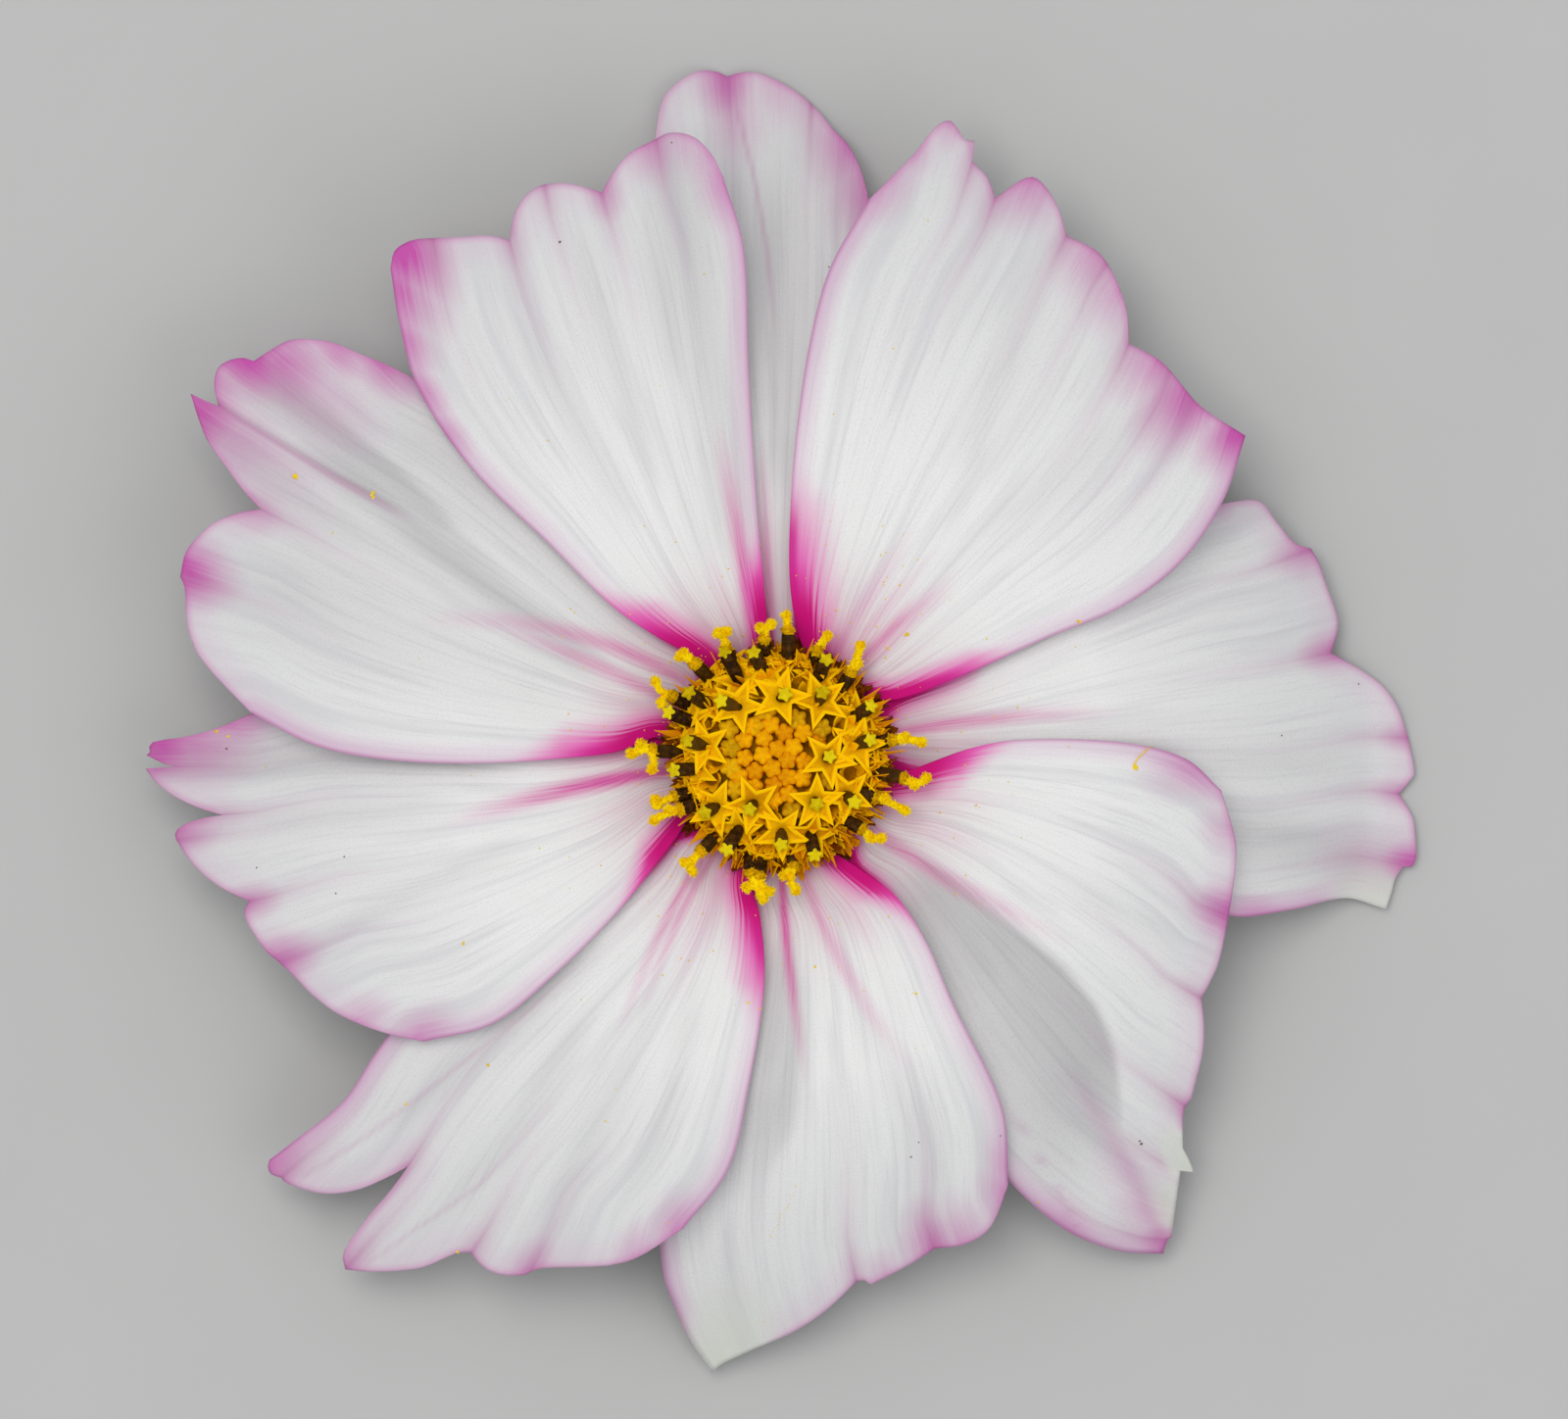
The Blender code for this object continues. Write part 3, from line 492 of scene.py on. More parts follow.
def smooth_run(points, spacing):
    """Points about `spacing` apart on the smooth curve through plan points, ends included."""
    knots = [Vector(point) for point in points]
    ends = [2 * knots[0] - knots[1]] + knots + [2 * knots[-1] - knots[-2]]
    run = [knots[0]]
    for before, start, stop, after in zip(ends, ends[1:], ends[2:], ends[3:]):
        span = (stop - start).length
        into = (stop - before) * span / ((start - before).length + span)
        out = (after - start) * span / (span + (after - stop).length)
        steps = max(1, round(span / spacing))
        for step in range(1, steps + 1):
            t = step / steps
            run.append(start * (1 + 2 * t) * (1 - t) ** 2 + stop * (3 - 2 * t) * t * t
                       + into * t * (1 - t) ** 2 - out * t * t * (1 - t))
    return run


def petal_run(petal, points, spacing):
    """Radius and azimuth along a smooth run, the azimuths on the petal's own side of the circle."""
    xy = np.array(smooth_run([plan(*point) for point in points], spacing))
    azimuth = np.degrees(np.arctan2(xy[:, 1], xy[:, 0]))
    return np.hypot(xy[:, 0], xy[:, 1]), petal["axis"] + (azimuth - petal["axis"] + 180) % 360 - 180


def side_edge(petal, side):
    """A side edge as a table of azimuths over the radius, and the same with its outer bulge taken out."""
    radius, azimuth = petal_run(petal, petal[side], EDGE_STEP)
    radius = np.maximum.accumulate(radius) + np.arange(len(radius)) * 1e-6
    first = np.interp(STRAIGHT_FROM, radius, azimuth)
    even = first + (azimuth[-1] - first) * (radius - STRAIGHT_FROM) / (radius[-1] - STRAIGHT_FROM)
    return radius, azimuth, np.where(radius < STRAIGHT_FROM, azimuth, even)


def toothed_tip(petal):
    """Places along the tip from the right edge's end to the left edge's end, every corner kept.

    Steep flanks get fewer places, because the petal's columns, which end here, run close there.
    """
    places = []
    last = petal["right"][-1]
    gone = 0.0
    for run in petal["teeth"]:
        r, a = petal_run(petal, [last] + run, TRACE_STEP)
        last = run[-1]
        across = np.radians(np.diff(a)) * (r[1:] + r[:-1]) / 2
        length = np.concatenate([[0], np.cumsum(np.hypot(across, STEEP_STEP * np.diff(r)))])
        count = max(2, round(length[-1] / TIP_STEP))
        marks = np.linspace(0, length[-1], count + 1)[1 if places else 0:]
        places += list(zip(np.interp(marks, length, r), np.interp(marks, length, a), gone + marks))
        gone += length[-1]
    radius, azimuth, way = np.array(places).T
    return radius, azimuth, way / gone


def underside(petal, radius, azimuth):
    """Height of the frame's petal underneath, as the frame's own rule gives it, and its lift there."""
    across = np.clip((azimuth - petal["axis"]) / HALF_SPREAD, -1.3, 1.3)
    right, left = petal["lifts"]
    reach, low = petal["tip"]
    share = (right + left + (left - right) * across) / 2 * np.clip((radius - CLAW_RADIUS) / 3, -9, 1)
    fall = np.clip((radius - PLATEAU_RADIUS) / (reach - PLATEAU_RADIUS), 0, None) ** FALL_POWER
    return np.interp(radius, *zip(*PETAL_RISE)) - (PLATEAU - low) * fall + LIFT * share, share


def in_plan(radius, azimuth):
    turn = np.radians(azimuth)
    return np.stack([radius * np.cos(turn), radius * np.sin(turn)], 1)


def from_line(places, line):
    """Distance of plan places from a run of plan points."""
    nearest = np.full(len(places), 1e9)
    for start, way in zip(line[:-1], line[1:] - line[:-1]):
        t = np.clip(((places - start) @ way) / max((way ** 2).sum(), 1e-12), 0, 1)
        nearest = np.minimum(nearest, np.hypot(*(places - (start + t[:, None] * way)).T))
    return nearest


def fold_reach(radius, azimuth, line, right, left):
    """How strongly a fold acts at each place: 1 on its line, less to both sides and past its ends."""
    line_radius, line_azimuth = zip(*line)
    gap = np.radians(azimuth - np.interp(radius, line_radius, line_azimuth)) * radius
    gap = np.where(gap > 0, gap / left, gap / right)
    start, stop = line_radius[0], line_radius[-1]
    return np.exp(-gap * gap) * ease(radius, start - 1, start + 4) * (1 - ease(radius, stop - 5, stop + 3))


def petal_relief(petal, share, width, way, radius, azimuth, tip, seed):
    """Pleats of a petal, and the color lines in its creases.

    A crease runs from each notch with an arched lobe between two, over finer pleats and broad folds.
    share runs across the petal from 0 to 1, width is its width in millimetres there, and way runs from
    the claw (0) to the tip (1). Gives the relief's height, the thin lines' strength and the painted shade of
    the folds.
    """
    draw = random.Random(seed)
    tip_radius, tip_azimuth, tip_share = tip
    marks = [0.0, 1.0]
    relief = np.zeros_like(share)
    vein = np.zeros_like(share)
    shade = np.zeros_like(share)
    grow = ease(way, 0.12, 0.9)

    def tip_place(spot):
        gaps = np.hypot(tip_radius - spot[0], np.radians(tip_azimuth - spot[1]) * spot[0])
        return tip_share[np.argmin(gaps)], tip_radius[np.argmin(gaps)]

    narrow, wide = CREASE_WIDTHS
    for crease in sorted(petal["creases"], key=lambda crease: crease[1]):
        place = tip_place(crease)[0]
        marks.append(place)
        gap = np.hypot((share - place) * width, 0.14) - 0.14
        deep = crease[2] * (0.3 * grow + 0.7 * ease(way, 0.66, 1.0))
        relief -= deep * np.exp(-gap / (narrow + (wide - narrow) * way))
    for line in petal["creases"] + petal["lines"]:
        place, end_radius = tip_place(line)
        gap = np.abs(share - place) * width
        inwards = np.maximum(end_radius - radius, 0)
        sharp = (0.62 * np.exp(-inwards / 2.2) + 0.15 * np.exp(-inwards / 9)) * np.exp(-(gap / 0.15) ** 2)
        soft = 0.45 * np.exp(-inwards / 3.2) * np.exp(-(gap / 0.7) ** 2)
        vein = np.maximum(vein, np.maximum(sharp, soft))
    marks = np.array(sorted(marks))
    lobe = np.clip(np.searchsorted(marks, share, side="right") - 1, 0, len(marks) - 2)
    lobe_share = marks[lobe + 1] - marks[lobe]
    within = np.clip((share - marks[lobe]) / np.maximum(lobe_share, 1e-6), 0, 1)
    relief += LOBE_ARCH * np.minimum(lobe_share * width, WIDEST_LOBE) * np.sin(np.pi * within) * grow
    for count, height in PLEATS:
        phase = draw.uniform(0, 1)
        bend = 0.012 * np.sin(way * 5 + draw.uniform(0, 6))
        wave = 1 - np.abs(np.sin(np.pi * (share * count + phase + bend * count * 0.2)))
        uneven = 0.7 + 0.5 * np.sin(share * count * 1.7 + draw.uniform(0, 6)) \
            * np.cos(way * 4 + draw.uniform(0, 6))
        relief -= height * uneven * wave ** 2 * ease(way, 0.03, 0.35)
    # each fold bends the petal by its height and paints shade along it, darkest on its line
    for line, height, right, left, painted_darkness in petal["folds_and_shade"]:
        bent = fold_reach(radius, azimuth, line, right, left)
        relief += height * bent
        shade = np.maximum(shade, painted_darkness * bent)
    for line, half, strength in petal["strokes"]:
        vein = np.maximum(vein, strength * fold_reach(radius, azimuth, line, half, half))
    return relief, dict(vein=vein, shade=shade)


def petal_colors(petal, radius, azimuth, places, tip_line):
    """Where a petal is colored, for each of its points: at its rims, in streaks and in spots."""
    nothing = np.zeros(len(radius))

    def streak(near, far, strength, half, reach):
        start, stop = STREAK_AT
        line = near + (far - near) * (radius - start) / (stop - start)
        gap = np.radians(azimuth - line) * radius / (half * (0.6 + radius / 25))
        return strength * np.exp(-gap ** 2) * (1 - ease(radius, start + 1, reach))

    def spot(spot_radius, spot_azimuth, size, strength=1.0, inner=0.2, outer=1.6):
        """A soft round spot, drawn out along the veins."""
        gap = np.hypot(np.radians(azimuth - spot_azimuth) * radius, DRAWN_OUT * (radius - spot_radius))
        return strength * (1 - ease(gap, inner * size, outer * size))

    sides = []
    for side in ("right", "left"):
        edge = smooth_run([plan(*point) for point in petal[side]], RIM_STEP)
        sides.append(from_line(places, np.array(edge)))
    margin = np.full(len(radius), 9.0)
    core = nothing
    for side, (strength, end) in zip(sides, petal["margins"]):
        margin = np.minimum(margin, side / strength + 0.6 * np.maximum(radius - end, 0))
        core = np.maximum(core, (1 - ease(side, 0.25, 0.75)) * (1 - ease(radius, end - 2.5, end + 1)))
    return dict(
        rim=np.minimum(*sides), tip_rim=from_line(places, tip_line), margin=margin, core=core, reach=radius,
        streak=np.max([nothing] + [streak(*row) for row in petal["streaks"]], axis=0),
        blush=np.max([nothing] + [spot(*row, -0.25, 1.25) for row in petal["blushes"]], axis=0),
        green=np.max([nothing] + [spot(*row) for row in petal["greens"]], axis=0))


def unfolded(radius, azimuth, columns):
    """Azimuths with each column of a petal kept clear of the one before it, wherever both reach."""
    radii = radius.reshape(-1, columns)
    azimuths = azimuth.reshape(-1, columns).copy()
    for now in range(1, columns):
        before = np.interp(radii[:, now], radii[:, now - 1], azimuths[:, now - 1])
        azimuths[:, now] = np.maximum(azimuths[:, now], before + COLUMN_GAP)
    return azimuths.ravel()


def make_petal(name, petal, material, seed):
    """One petal: a grid whose columns run from the claw to the toothed tip, pleated, then thickened."""
    tip_radius, tip_azimuth, tip_way = toothed_tip(petal)
    right_r, right_a, straight_right = side_edge(petal, "right")
    left_r, left_a, straight_left = side_edge(petal, "left")
    right_at = np.interp(tip_radius, right_r, right_a)
    left_at = np.interp(tip_radius, left_r, left_a)
    share = np.maximum.accumulate(np.clip((tip_azimuth - right_at) / (left_at - right_at), 0, 1))
    share = (1 - EVEN_COLUMNS) * share + EVEN_COLUMNS * tip_way

    def fanned(radius, across):
        """Azimuth at a radius and a share across: straight inside, bending with the edges beside them."""
        inner_right = np.interp(radius, right_r, straight_right)
        inner_left = np.interp(radius, left_r, straight_left)
        off_right = np.interp(radius, right_r, right_a) - inner_right
        off_left = np.interp(radius, left_r, left_a) - inner_left
        return inner_right + (inner_left - inner_right) * across \
            + off_right * (1 - across) ** EDGE_POWER + off_left * across ** EDGE_POWER

    columns = len(tip_radius)
    bpy.ops.mesh.primitive_grid_add(x_subdivisions=columns - 1, y_subdivisions=PETAL_ROWS - 1,
                                    size=2, location=(0, 0, 0), calc_uvs=False)
    piece = active_piece(name + "_blade")
    mesh = piece.data
    square = np.empty(len(mesh.vertices) * 3, dtype=np.float32)
    mesh.vertices.foreach_get("co", square)
    right_share, t, _ = (square.reshape(-1, 3).T + 1) / 2
    column = np.rint(right_share * (columns - 1)).astype(int)
    way = 1.45 * t - 0.45 * t * t           # the rows close up towards the tip

    across = share[column]
    radius = CLAW_RADIUS + (tip_radius[column] - CLAW_RADIUS) * way
    end_fix = (tip_azimuth - fanned(tip_radius, share))[column]
    azimuth = unfolded(radius, fanned(radius, across) + end_fix * way ** END_POWER, columns)
    places = in_plan(radius, azimuth)
    width = np.radians(np.interp(radius, left_r, left_a) - np.interp(radius, right_r, right_a)) * radius

    # the pleats are measured by an evened-out tip, so that none jumps at the flank of a notch
    padded = np.pad(tip_radius, len(EVEN_OUT) // 2, mode="edge")
    even_tip = np.convolve(padded, EVEN_OUT, mode="valid")[column]
    even_way = np.clip((radius - CLAW_RADIUS) / (even_tip - CLAW_RADIUS), 0, 1.1)
    relief, layers = petal_relief(petal, across, width, even_way, radius, azimuth,
                                  (tip_radius, tip_azimuth, share), seed)
    low, lifted = underside(petal, radius, azimuth)
    settled = (low + np.sqrt(low * low + 0.35)) / 2          # never below the floor
    height = np.maximum(settled + BLADE / 2 - 0.16 * lifted + relief, SHEET / 2 + 0.01)
    move_points(piece, np.stack([BLOOM_X + places[:, 0], BLOOM_Y + places[:, 1], height], 1) * MM)
    tip_line = in_plan(tip_radius, tip_azimuth)[::2]
    point_values(piece, **layers, **petal_colors(petal, radius, azimuth, places, tip_line))
    corners = np.empty(len(mesh.loops), dtype=np.int32)
    mesh.loops.foreach_get("vertex_index", corners)
    uv = (np.stack([across, way], 1) * UV_SIZE)[corners]
    mesh.uv_layers.new(name="along").data.foreach_set("uv", uv.astype(np.float32).ravel())
    mesh.update()
    thicken(piece, SHEET * MM)
    hand_over(piece, material, name, smooth=180, scale=1.0)
    return piece


def petal_material():
    """White, finely veined, with a lilac rim, a margin that turns magenta at the claw and pink streaks; shade
    is painted along the folds, in broad stripes, near the disc and towards the tips.
    """
    n = Nodes("white_petal_with_pink_rim")
    along = n.along()
    reach = n.point_value("reach")
    rim = n.point_value("rim")
    tip_rim = n.point_value("tip_rim")
    green_spot = n.point_value("green")
    fine = n.grain(along, 1.0, 3, 0.6, (2.2, 0.06, 1))
    finer = n.grain(along, 1.0, 2, 0.5, (6.5, 0.25, 1))
    broad = n.grain(along, 1.0, 2, 0.5, (0.55, 0.05, 1))
    cells = n.grain(along, 7.0, 2, 0.6)

    # the white darkens from the middle of the petal to its tip: painted shade where the petal falls away from
    # the light
    white = n.blend(n.span(reach, 19, 38, 0, 1, "LINEAR"), (0.83, 0.826, 0.813), (0.69, 0.688, 0.686))
    # the veins run together at the claw, where they show less
    calm = n.span(reach, 7, 17, 0.4, 1.0)
    white = n.blend(n.times(n.span(fine, 0.48, 0.78, 0, 0.55), calm), white, (0.61, 0.6, 0.62))
    # broad grey stripes along the veins: painted shade of the soft pleats
    white = n.blend(n.span(broad, 0.48, 0.76, 0, 0.52), white, (0.58, 0.575, 0.6))
    white = n.blend(n.times(n.span(finer, 0.52, 0.8, 0, 0.26), calm), white, (0.52, 0.51, 0.54))
    white = n.blend(n.span(cells, 0.45, 0.75, 0, 0.28), white, (0.5, 0.51, 0.5))
    # painted shade: the folds darken the white where the petal lies in shadow or turns from the light
    white = n.blend(n.point_value("shade"), white, (0.6, 0.595, 0.6), kind="MULTIPLY")

    # a soft veil over the inner part, partly real pink and partly painted shade under the disc, and the
    # streaks from the claw
    pink_veil_and_shade = n.times(n.span(reach, 15, 6), n.span(fine, 0.3, 0.75, 0.2, 0.95))
    color = n.blend(pink_veil_and_shade, white, (0.58, 0.34, 0.44))
    streak = n.times(n.point_value("streak"), n.span(finer, 0.25, 0.7, 0.6, 1.15))
    color = n.blend(n.span(streak, 0.03, 0.8, 0, 1, "LINEAR"), color, (0.66, 0.11, 0.37))

    # the margin: a broad pink halo and deep magenta near the claw, only a pale rim further out
    not_green = n.span(green_spot, 0.0, 0.7, 1.0, 0.05)
    edge = n.plus(n.point_value("margin"), n.span(fine, 0.3, 0.75, -0.45, 0.5, "LINEAR"))
    pale = n.times(n.span(rim, 1.5, 0.0, 0, 0.8, "LINEAR"), n.span(reach, 14, 32, 0.55, 1.0))
    pale = n.math("MAXIMUM", pale, n.span(tip_rim, 2.2, 0.0, 0, 0.28, "LINEAR"))
    color = n.blend(n.times(pale, not_green), color, (0.62, 0.33, 0.54))
    line = n.math("MAXIMUM", n.span(rim, 0.34, 0.0, 0, 0.55), n.span(tip_rim, 0.55, 0.0, 0, 0.5))
    color = n.blend(n.times(line, not_green), color, (0.6, 0.24, 0.47))
    halo = n.times(n.span(edge, 2.6, 0.3), n.span(reach, 19.5, 10.6))
    color = n.blend(halo, color, (0.77, 0.085, 0.44))
    color = n.blend(n.times(n.point_value("core"), 0.85), color, (0.61, 0.012, 0.26))
    deep = n.times(n.span(edge, 1.35, 0.65), n.span(reach, 12.6, 9.0))
    color = n.blend(deep, color, (0.6, 0.001, 0.19))

    # blushes at the teeth, drawn out along the veins, and a thin line in each crease
    blush = n.times(n.point_value("blush"), n.span(fine, 0.3, 0.7, 0.86, 1.1, "LINEAR"))
    blush = n.times(blush, n.span(finer, 0.3, 0.7, 0.9, 1.08, "LINEAR"))
    color = n.blend(n.span(blush, 0.03, 1.05, 0, 1, "LINEAR"), color, (0.55, 0.085, 0.385))
    color = n.blend(n.times(n.point_value("vein"), not_green), color, (0.46, 0.15, 0.34))
    color = n.blend(n.times(green_spot, 0.42), color, (0.6, 0.64, 0.5))

    height = n.plus(n.plus(n.times(fine, 0.8), n.times(finer, 0.5)), n.times(cells, 0.4))
    n.fill(n.shader, Sheen_Weight=0.05, Sheen_Roughness=0.5)
    return n.finish(color, 0.62, 0.12, height, bump=0.25, depth=0.0001)


def make_grains(petals):
    """Specks that lie on the petals: pollen, a fallen thread of it, and a few dark flecks."""
    draw = random.Random(77)
    bpy.context.view_layer.update()

    def petal_top(radius, azimuth):
        """Height of the highest petal at a place, or None beside them all."""
        spot = polar(radius, azimuth, 60) * MM
        hits = [petal.ray_cast(spot, (0, 0, -1)) for petal in petals]
        return max([place.z / MM for hit, place, _, _ in hits if hit], default=None)

    def speck(radius, azimuth, size, flat):
        top = petal_top(radius, azimuth)
        if top is None:
            return []
        bpy.ops.mesh.primitive_ico_sphere_add(subdivisions=2, radius=size / 2, location=(0, 0, 0))
        grain = active_piece("grain")
        push = Vector([draw.uniform(0, 50) for _ in range(3)])
        for vert in grain.data.vertices:
            vert.co *= 1 + 0.9 * noise.noise(vert.co * 2.2 / size + push)
            vert.co.z = max(vert.co.z * flat, -0.25 * size * flat)
        grain.data.transform(Matrix.Translation(polar(radius, azimuth, top + 0.2 * size * flat))
                             @ Matrix.Rotation(draw.uniform(0, 6.3), 4, "Z"))
        return [grain]

    pollen = []
    for radius, azimuth, size in GRAINS:
        for _ in range(3):
            out = radius + draw.uniform(-0.6, 0.6) * size
            turn = azimuth + draw.uniform(-30, 30) * size / radius
            pollen += speck(out, turn, size * draw.uniform(0.5, 0.95), 0.7)
    for _ in range(POLLEN_SPECKS):
        near = draw.random() < NEAR_SHARE
        radius = 7.2 + 9 * draw.random() ** 1.5 if near else draw.uniform(14, 36)
        pollen += speck(radius, draw.uniform(0, 360), draw.uniform(0.05, 0.11), 0.8)
    start, stop = np.array(BROKEN_THREAD)
    for step in range(THREAD_SPECKS):
        radius, azimuth = start + (stop - start) * (step / (THREAD_SPECKS - 1) + draw.uniform(-0.03, 0.03))
        pollen += speck(radius, azimuth + draw.uniform(-0.2, 0.2), 0.07, 0.4)
    thread = [polar(*place, petal_top(*place) + 0.06) for place in FALLEN_THREAD]
    pollen.append(rod("thread", thread, [0.035] * len(thread), 6))
    flecks = [fleck for radius, azimuth, size in FLECKS for fleck in speck(radius, azimuth, size * 1.2, 0.5)]
    yellow = plant_material("fallen_pollen", (0.8, 0.5, 0.02), (0.95, 0.72, 0.05), 0.8, scale=5000.0)
    brown = plant_material("dark_fleck", (0.1, 0.07, 0.05), (0.2, 0.16, 0.1), 0.7, scale=5000.0)
    for name, specks, material in (("fallen_pollen", pollen, yellow), ("flecks", flecks, brown)):
        piece = join_all(name, specks)
        point_values(piece, tone=0)
        hand_over(piece, material, smooth=60)


def make_petals():
    material = petal_material()
    make_grains([make_petal(name, {**NONE, **petal}, material, seed)
                 for seed, (name, petal) in enumerate(PETALS.items())])


# ---------------------------------------------------------------- disc of florets

# Florets by their place in plan round the bloom's axis, x and y in millimetres.
# Closed buds in the middle of the disc.
BUDS = [(-0.53, 2.16), (-2.19, 1.18), (-0.96, 1.28), (0.35, 1.62), (1.52, 1.62), (2.45, 0.99),
        (-2.16, 0.05), (-1.03, 0.24), (-0.11, 0.62), (0.89, 0.74), (-1.5, -0.77), (-0.43, -0.58),
        (0.52, -0.1), (-2.5, -1.14), (0.52, -1.14), (1.46, -1.21), (-0.36, -1.62), (0.58, -2.2),
        (-1.55, -1.72), (1.55, -0.15), (-1.75, 2), (-0.35, -2.55)]
# Paler buds about to open, between those and the open florets.
YOUNG = [(-3.05, 0.7), (-1.58, 2.09), (2.66, 1.9), (1.1, 2.5), (-3.05, -0.55), (-3.2, 1.85), (-2.75, -1.95),
         (-0.85, 3), (0.85, -3.3), (3.1, -1.35)]
# Open florets: middle of the corolla, turn of its lobes, reach of a lobe, end of the tube of anthers.
OPEN = [((0.05, 3.75), 2, 1.85, (0.34, 3.95)), ((2.5, 3.5), 38, 1.8, (2.66, 4.05)),
        ((2.95, 0), 62, 1.8, (3.09, 0.14)), ((2.25, -2.6), 18, 1.75, (2.29, -2.78)),
        ((-1.55, -2.75), 40, 1.85, (-1.81, -3.09)), ((-2.5, 3.2), 68, 1.75, (-3.54, 3.54)),
        ((-4.5, 0.75), 36, 1.7, (-5.61, 1.08)), ((-3.85, -2.95), 66, 1.8, (-4.54, -3.32)),
        ((0.15, -4.5), 56, 1.75, (0.13, -5.24)), ((4.75, 0.85), 3, 1.8, (5.58, 1.15)),
        ((4.1, -2.2), 47, 1.7, (4.6, -2.65))]
# The next ring, under the first: the same, but the tubes lie further over.
LEANING = [((1.95, -4.6), 9, 1.7, (2.18, -5.88)), ((-2.45, -4.3), 20, 1.65, (-3.19, -5.54)),
           ((-5, -0.65), 50, 1.6, (-6.42, -0.7)), ((-5.1, 2.2), 30, 1.6, (-6.76, 2.83)),
           ((-4.3, 3.3), 20, 1.65, (-5.51, 4.04)), ((-2.4, 4.7), 30, 1.7, (-3.33, 6.5)),
           ((-0.8, 5.3), 20, 1.75, (-1.55, 6.49)), ((2.35, 4.9), 24, 1.6, (2.89, 6.06)),
           ((4.6, 2.5), 14, 1.65, (5.61, 3.23))]
# The outer florets: foot and end of the tube, end of its pollen sleeve, then the branches of the stigma.
OUTER = [((0.5, 5.6), (0.57, 7.6), (0.46, 8.2), [[(0.44, 8.8)]]),
         ((-0.7, 6.1), (-0.9, 7.1), (-0.88, 7.6),
          [[(-0.95, 8), (-1.15, 8.05)], [(-0.75, 8.1), (-0.5, 8.28)]]),
         ((-2.75, 5.6), (-3.2, 6.6), (-3.3, 7),
          [[(-3.4, 7.4), (-3.45, 7.75), (-3.75, 7.75)], [(-3.4, 7.7), (-3.2, 7.85)]]),
         ((-4.1, 4.75), (-4.94, 5.59), (-5.45, 6.1), [[(-5.88, 6.46)], [(-5.7, 6.2), (-6.15, 6.3)]]),
         ((-5.2, 3.15), (-6.28, 3.7), (-6.9, 4),
          [[(-7.3, 4.2), (-7.6, 4.75)], [(-7.15, 3.7), (-7.25, 3.4)]]),
         ((-5.6, 0.4), (-7.45, 0.48), (-8.05, 0.6),
          [[(-8.5, 0.9)], [(-8.6, 0.5), (-9.1, 0.3)], [(-7.75, 0.05), (-7.7, -0.4), (-7.85, -0.65)]]),
         ((-5.2, -2), (-6.2, -2.25), (-6.6, -2.4), [[(-7.2, -2.65), (-7.6, -2.95), (-7.65, -2.5)]]),
         ((-4.8, -2.6), (-5.81, -3.05), (-6.3, -3.2), [[(-6.79, -3.12)], [(-7.2, -3.5), (-7.7, -3.8)]]),
         ((-3.7, -4.5), (-4.6, -5.47), (-5.05, -5.8),
          [[(-5.3, -6.2), (-5.81, -6.41)], [(-5.4, -6.5), (-5.34, -6.9)]]),
         ((-1.75, -5.6), (-1.78, -6.75), (-1.65, -7.25),
          [[(-1.7, -7.75), (-2, -7.9)], [(-1.35, -7.9), (-0.97, -8.63)]]),
         ((-1.08, -5.8), (-1.18, -6.95), (-1.25, -7.4), [[(-0.95, -7.95), (-0.57, -8.16)]]),
         ((0.72, -5.5), (0.9, -6.3), (0.84, -6.8), [[(0.3, -7.2)], [(0.75, -7.55), (1.04, -8.1)]]),
         ((3.8, -3.6), (4.87, -4.2), (5.3, -4.48), [[(5.61, -4.87)], [(5.9, -4.9), (6.3, -4.87)]]),
         ((4.6, -1.9), (5.68, -2.31), (6.15, -2.42), [[(6.55, -2.51)], [(7.2, -2.9), (7.76, -3.19)]]),
         ((5.6, -0.8), (7.36, -1.1), (7.85, -1.28), [[(8.34, -1.61)], [(8.7, -1.45), (9.04, -1.2)]]),
         ((5.6, 0.9), (6.65, 1.1), (7.3, 1.18), [[(7.73, 1.35)], [(8.2, 1.15), (8.77, 1.02)]]),
         ((3.6, 4), (4.3, 5), (4.45, 5.6), [[(4.87, 5.85)], [(4.8, 6.3), (5, 6.95)]]),
         ((2.15, 5.4), (2.25, 6.35), (2.5, 6.95), [[(2.75, 7.3), (2.99, 7.6)]])]
# Tips of the long pointed scales that show between the outer florets.
SCALES = [(5.41, 5.45), (6.89, 3.7), (7.36, 2.46), (7.86, 0.51), (6.75, -0.23), (6.92, -1.77), (6.9, -2.6),
          (3.53, -6.68), (-2.32, -7.6), (-0.87, -7.5), (-2.99, -6.82), (-5.61, -5.4), (-6.22, -4.13),
          (-7.02, -1.04), (-7.7, 1.75), (-6.55, 4.64), (-5.88, 5.18), (-4.23, 6.59), (-1.65, 7.4),
          (2.12, 7.4), (3.7, 6.55), (6.3, 4.4), (5.4, -4.9), (4.6, -5.6), (1.6, -7), (-7.3, 3)]

CLAW_GAPS = [29.5, 79.5, 97.3, 129.3, 171.3, 217.0, 258.0, 302.0, 344.0]      # azimuths between the claws
LOBES = 104                # single pointed lobes round the rim
SHORT_SCALES = 46
CUPS_INSIDE = 30
CUP_GAP = 0.8              # least distance of a half-open corolla inside the disc from any other floret
# Rings of small florets round the rim: how many, how far each may turn from its place, then the least and
# most radius, lean, height over the dome, size and tone, and their length
CUP_RING = (36, 4, (5.5, 6.3), (50, 82), (-0.45, 0.0), (0.62, 0.85), (-0.9, 0.7), 1.15)
WITHERED_RING = (44, 5, (5.7, 6.8), (45, 95), (-0.3, 0.1), (0.55, 0.85), (-0.9, 0.9), 1.0)
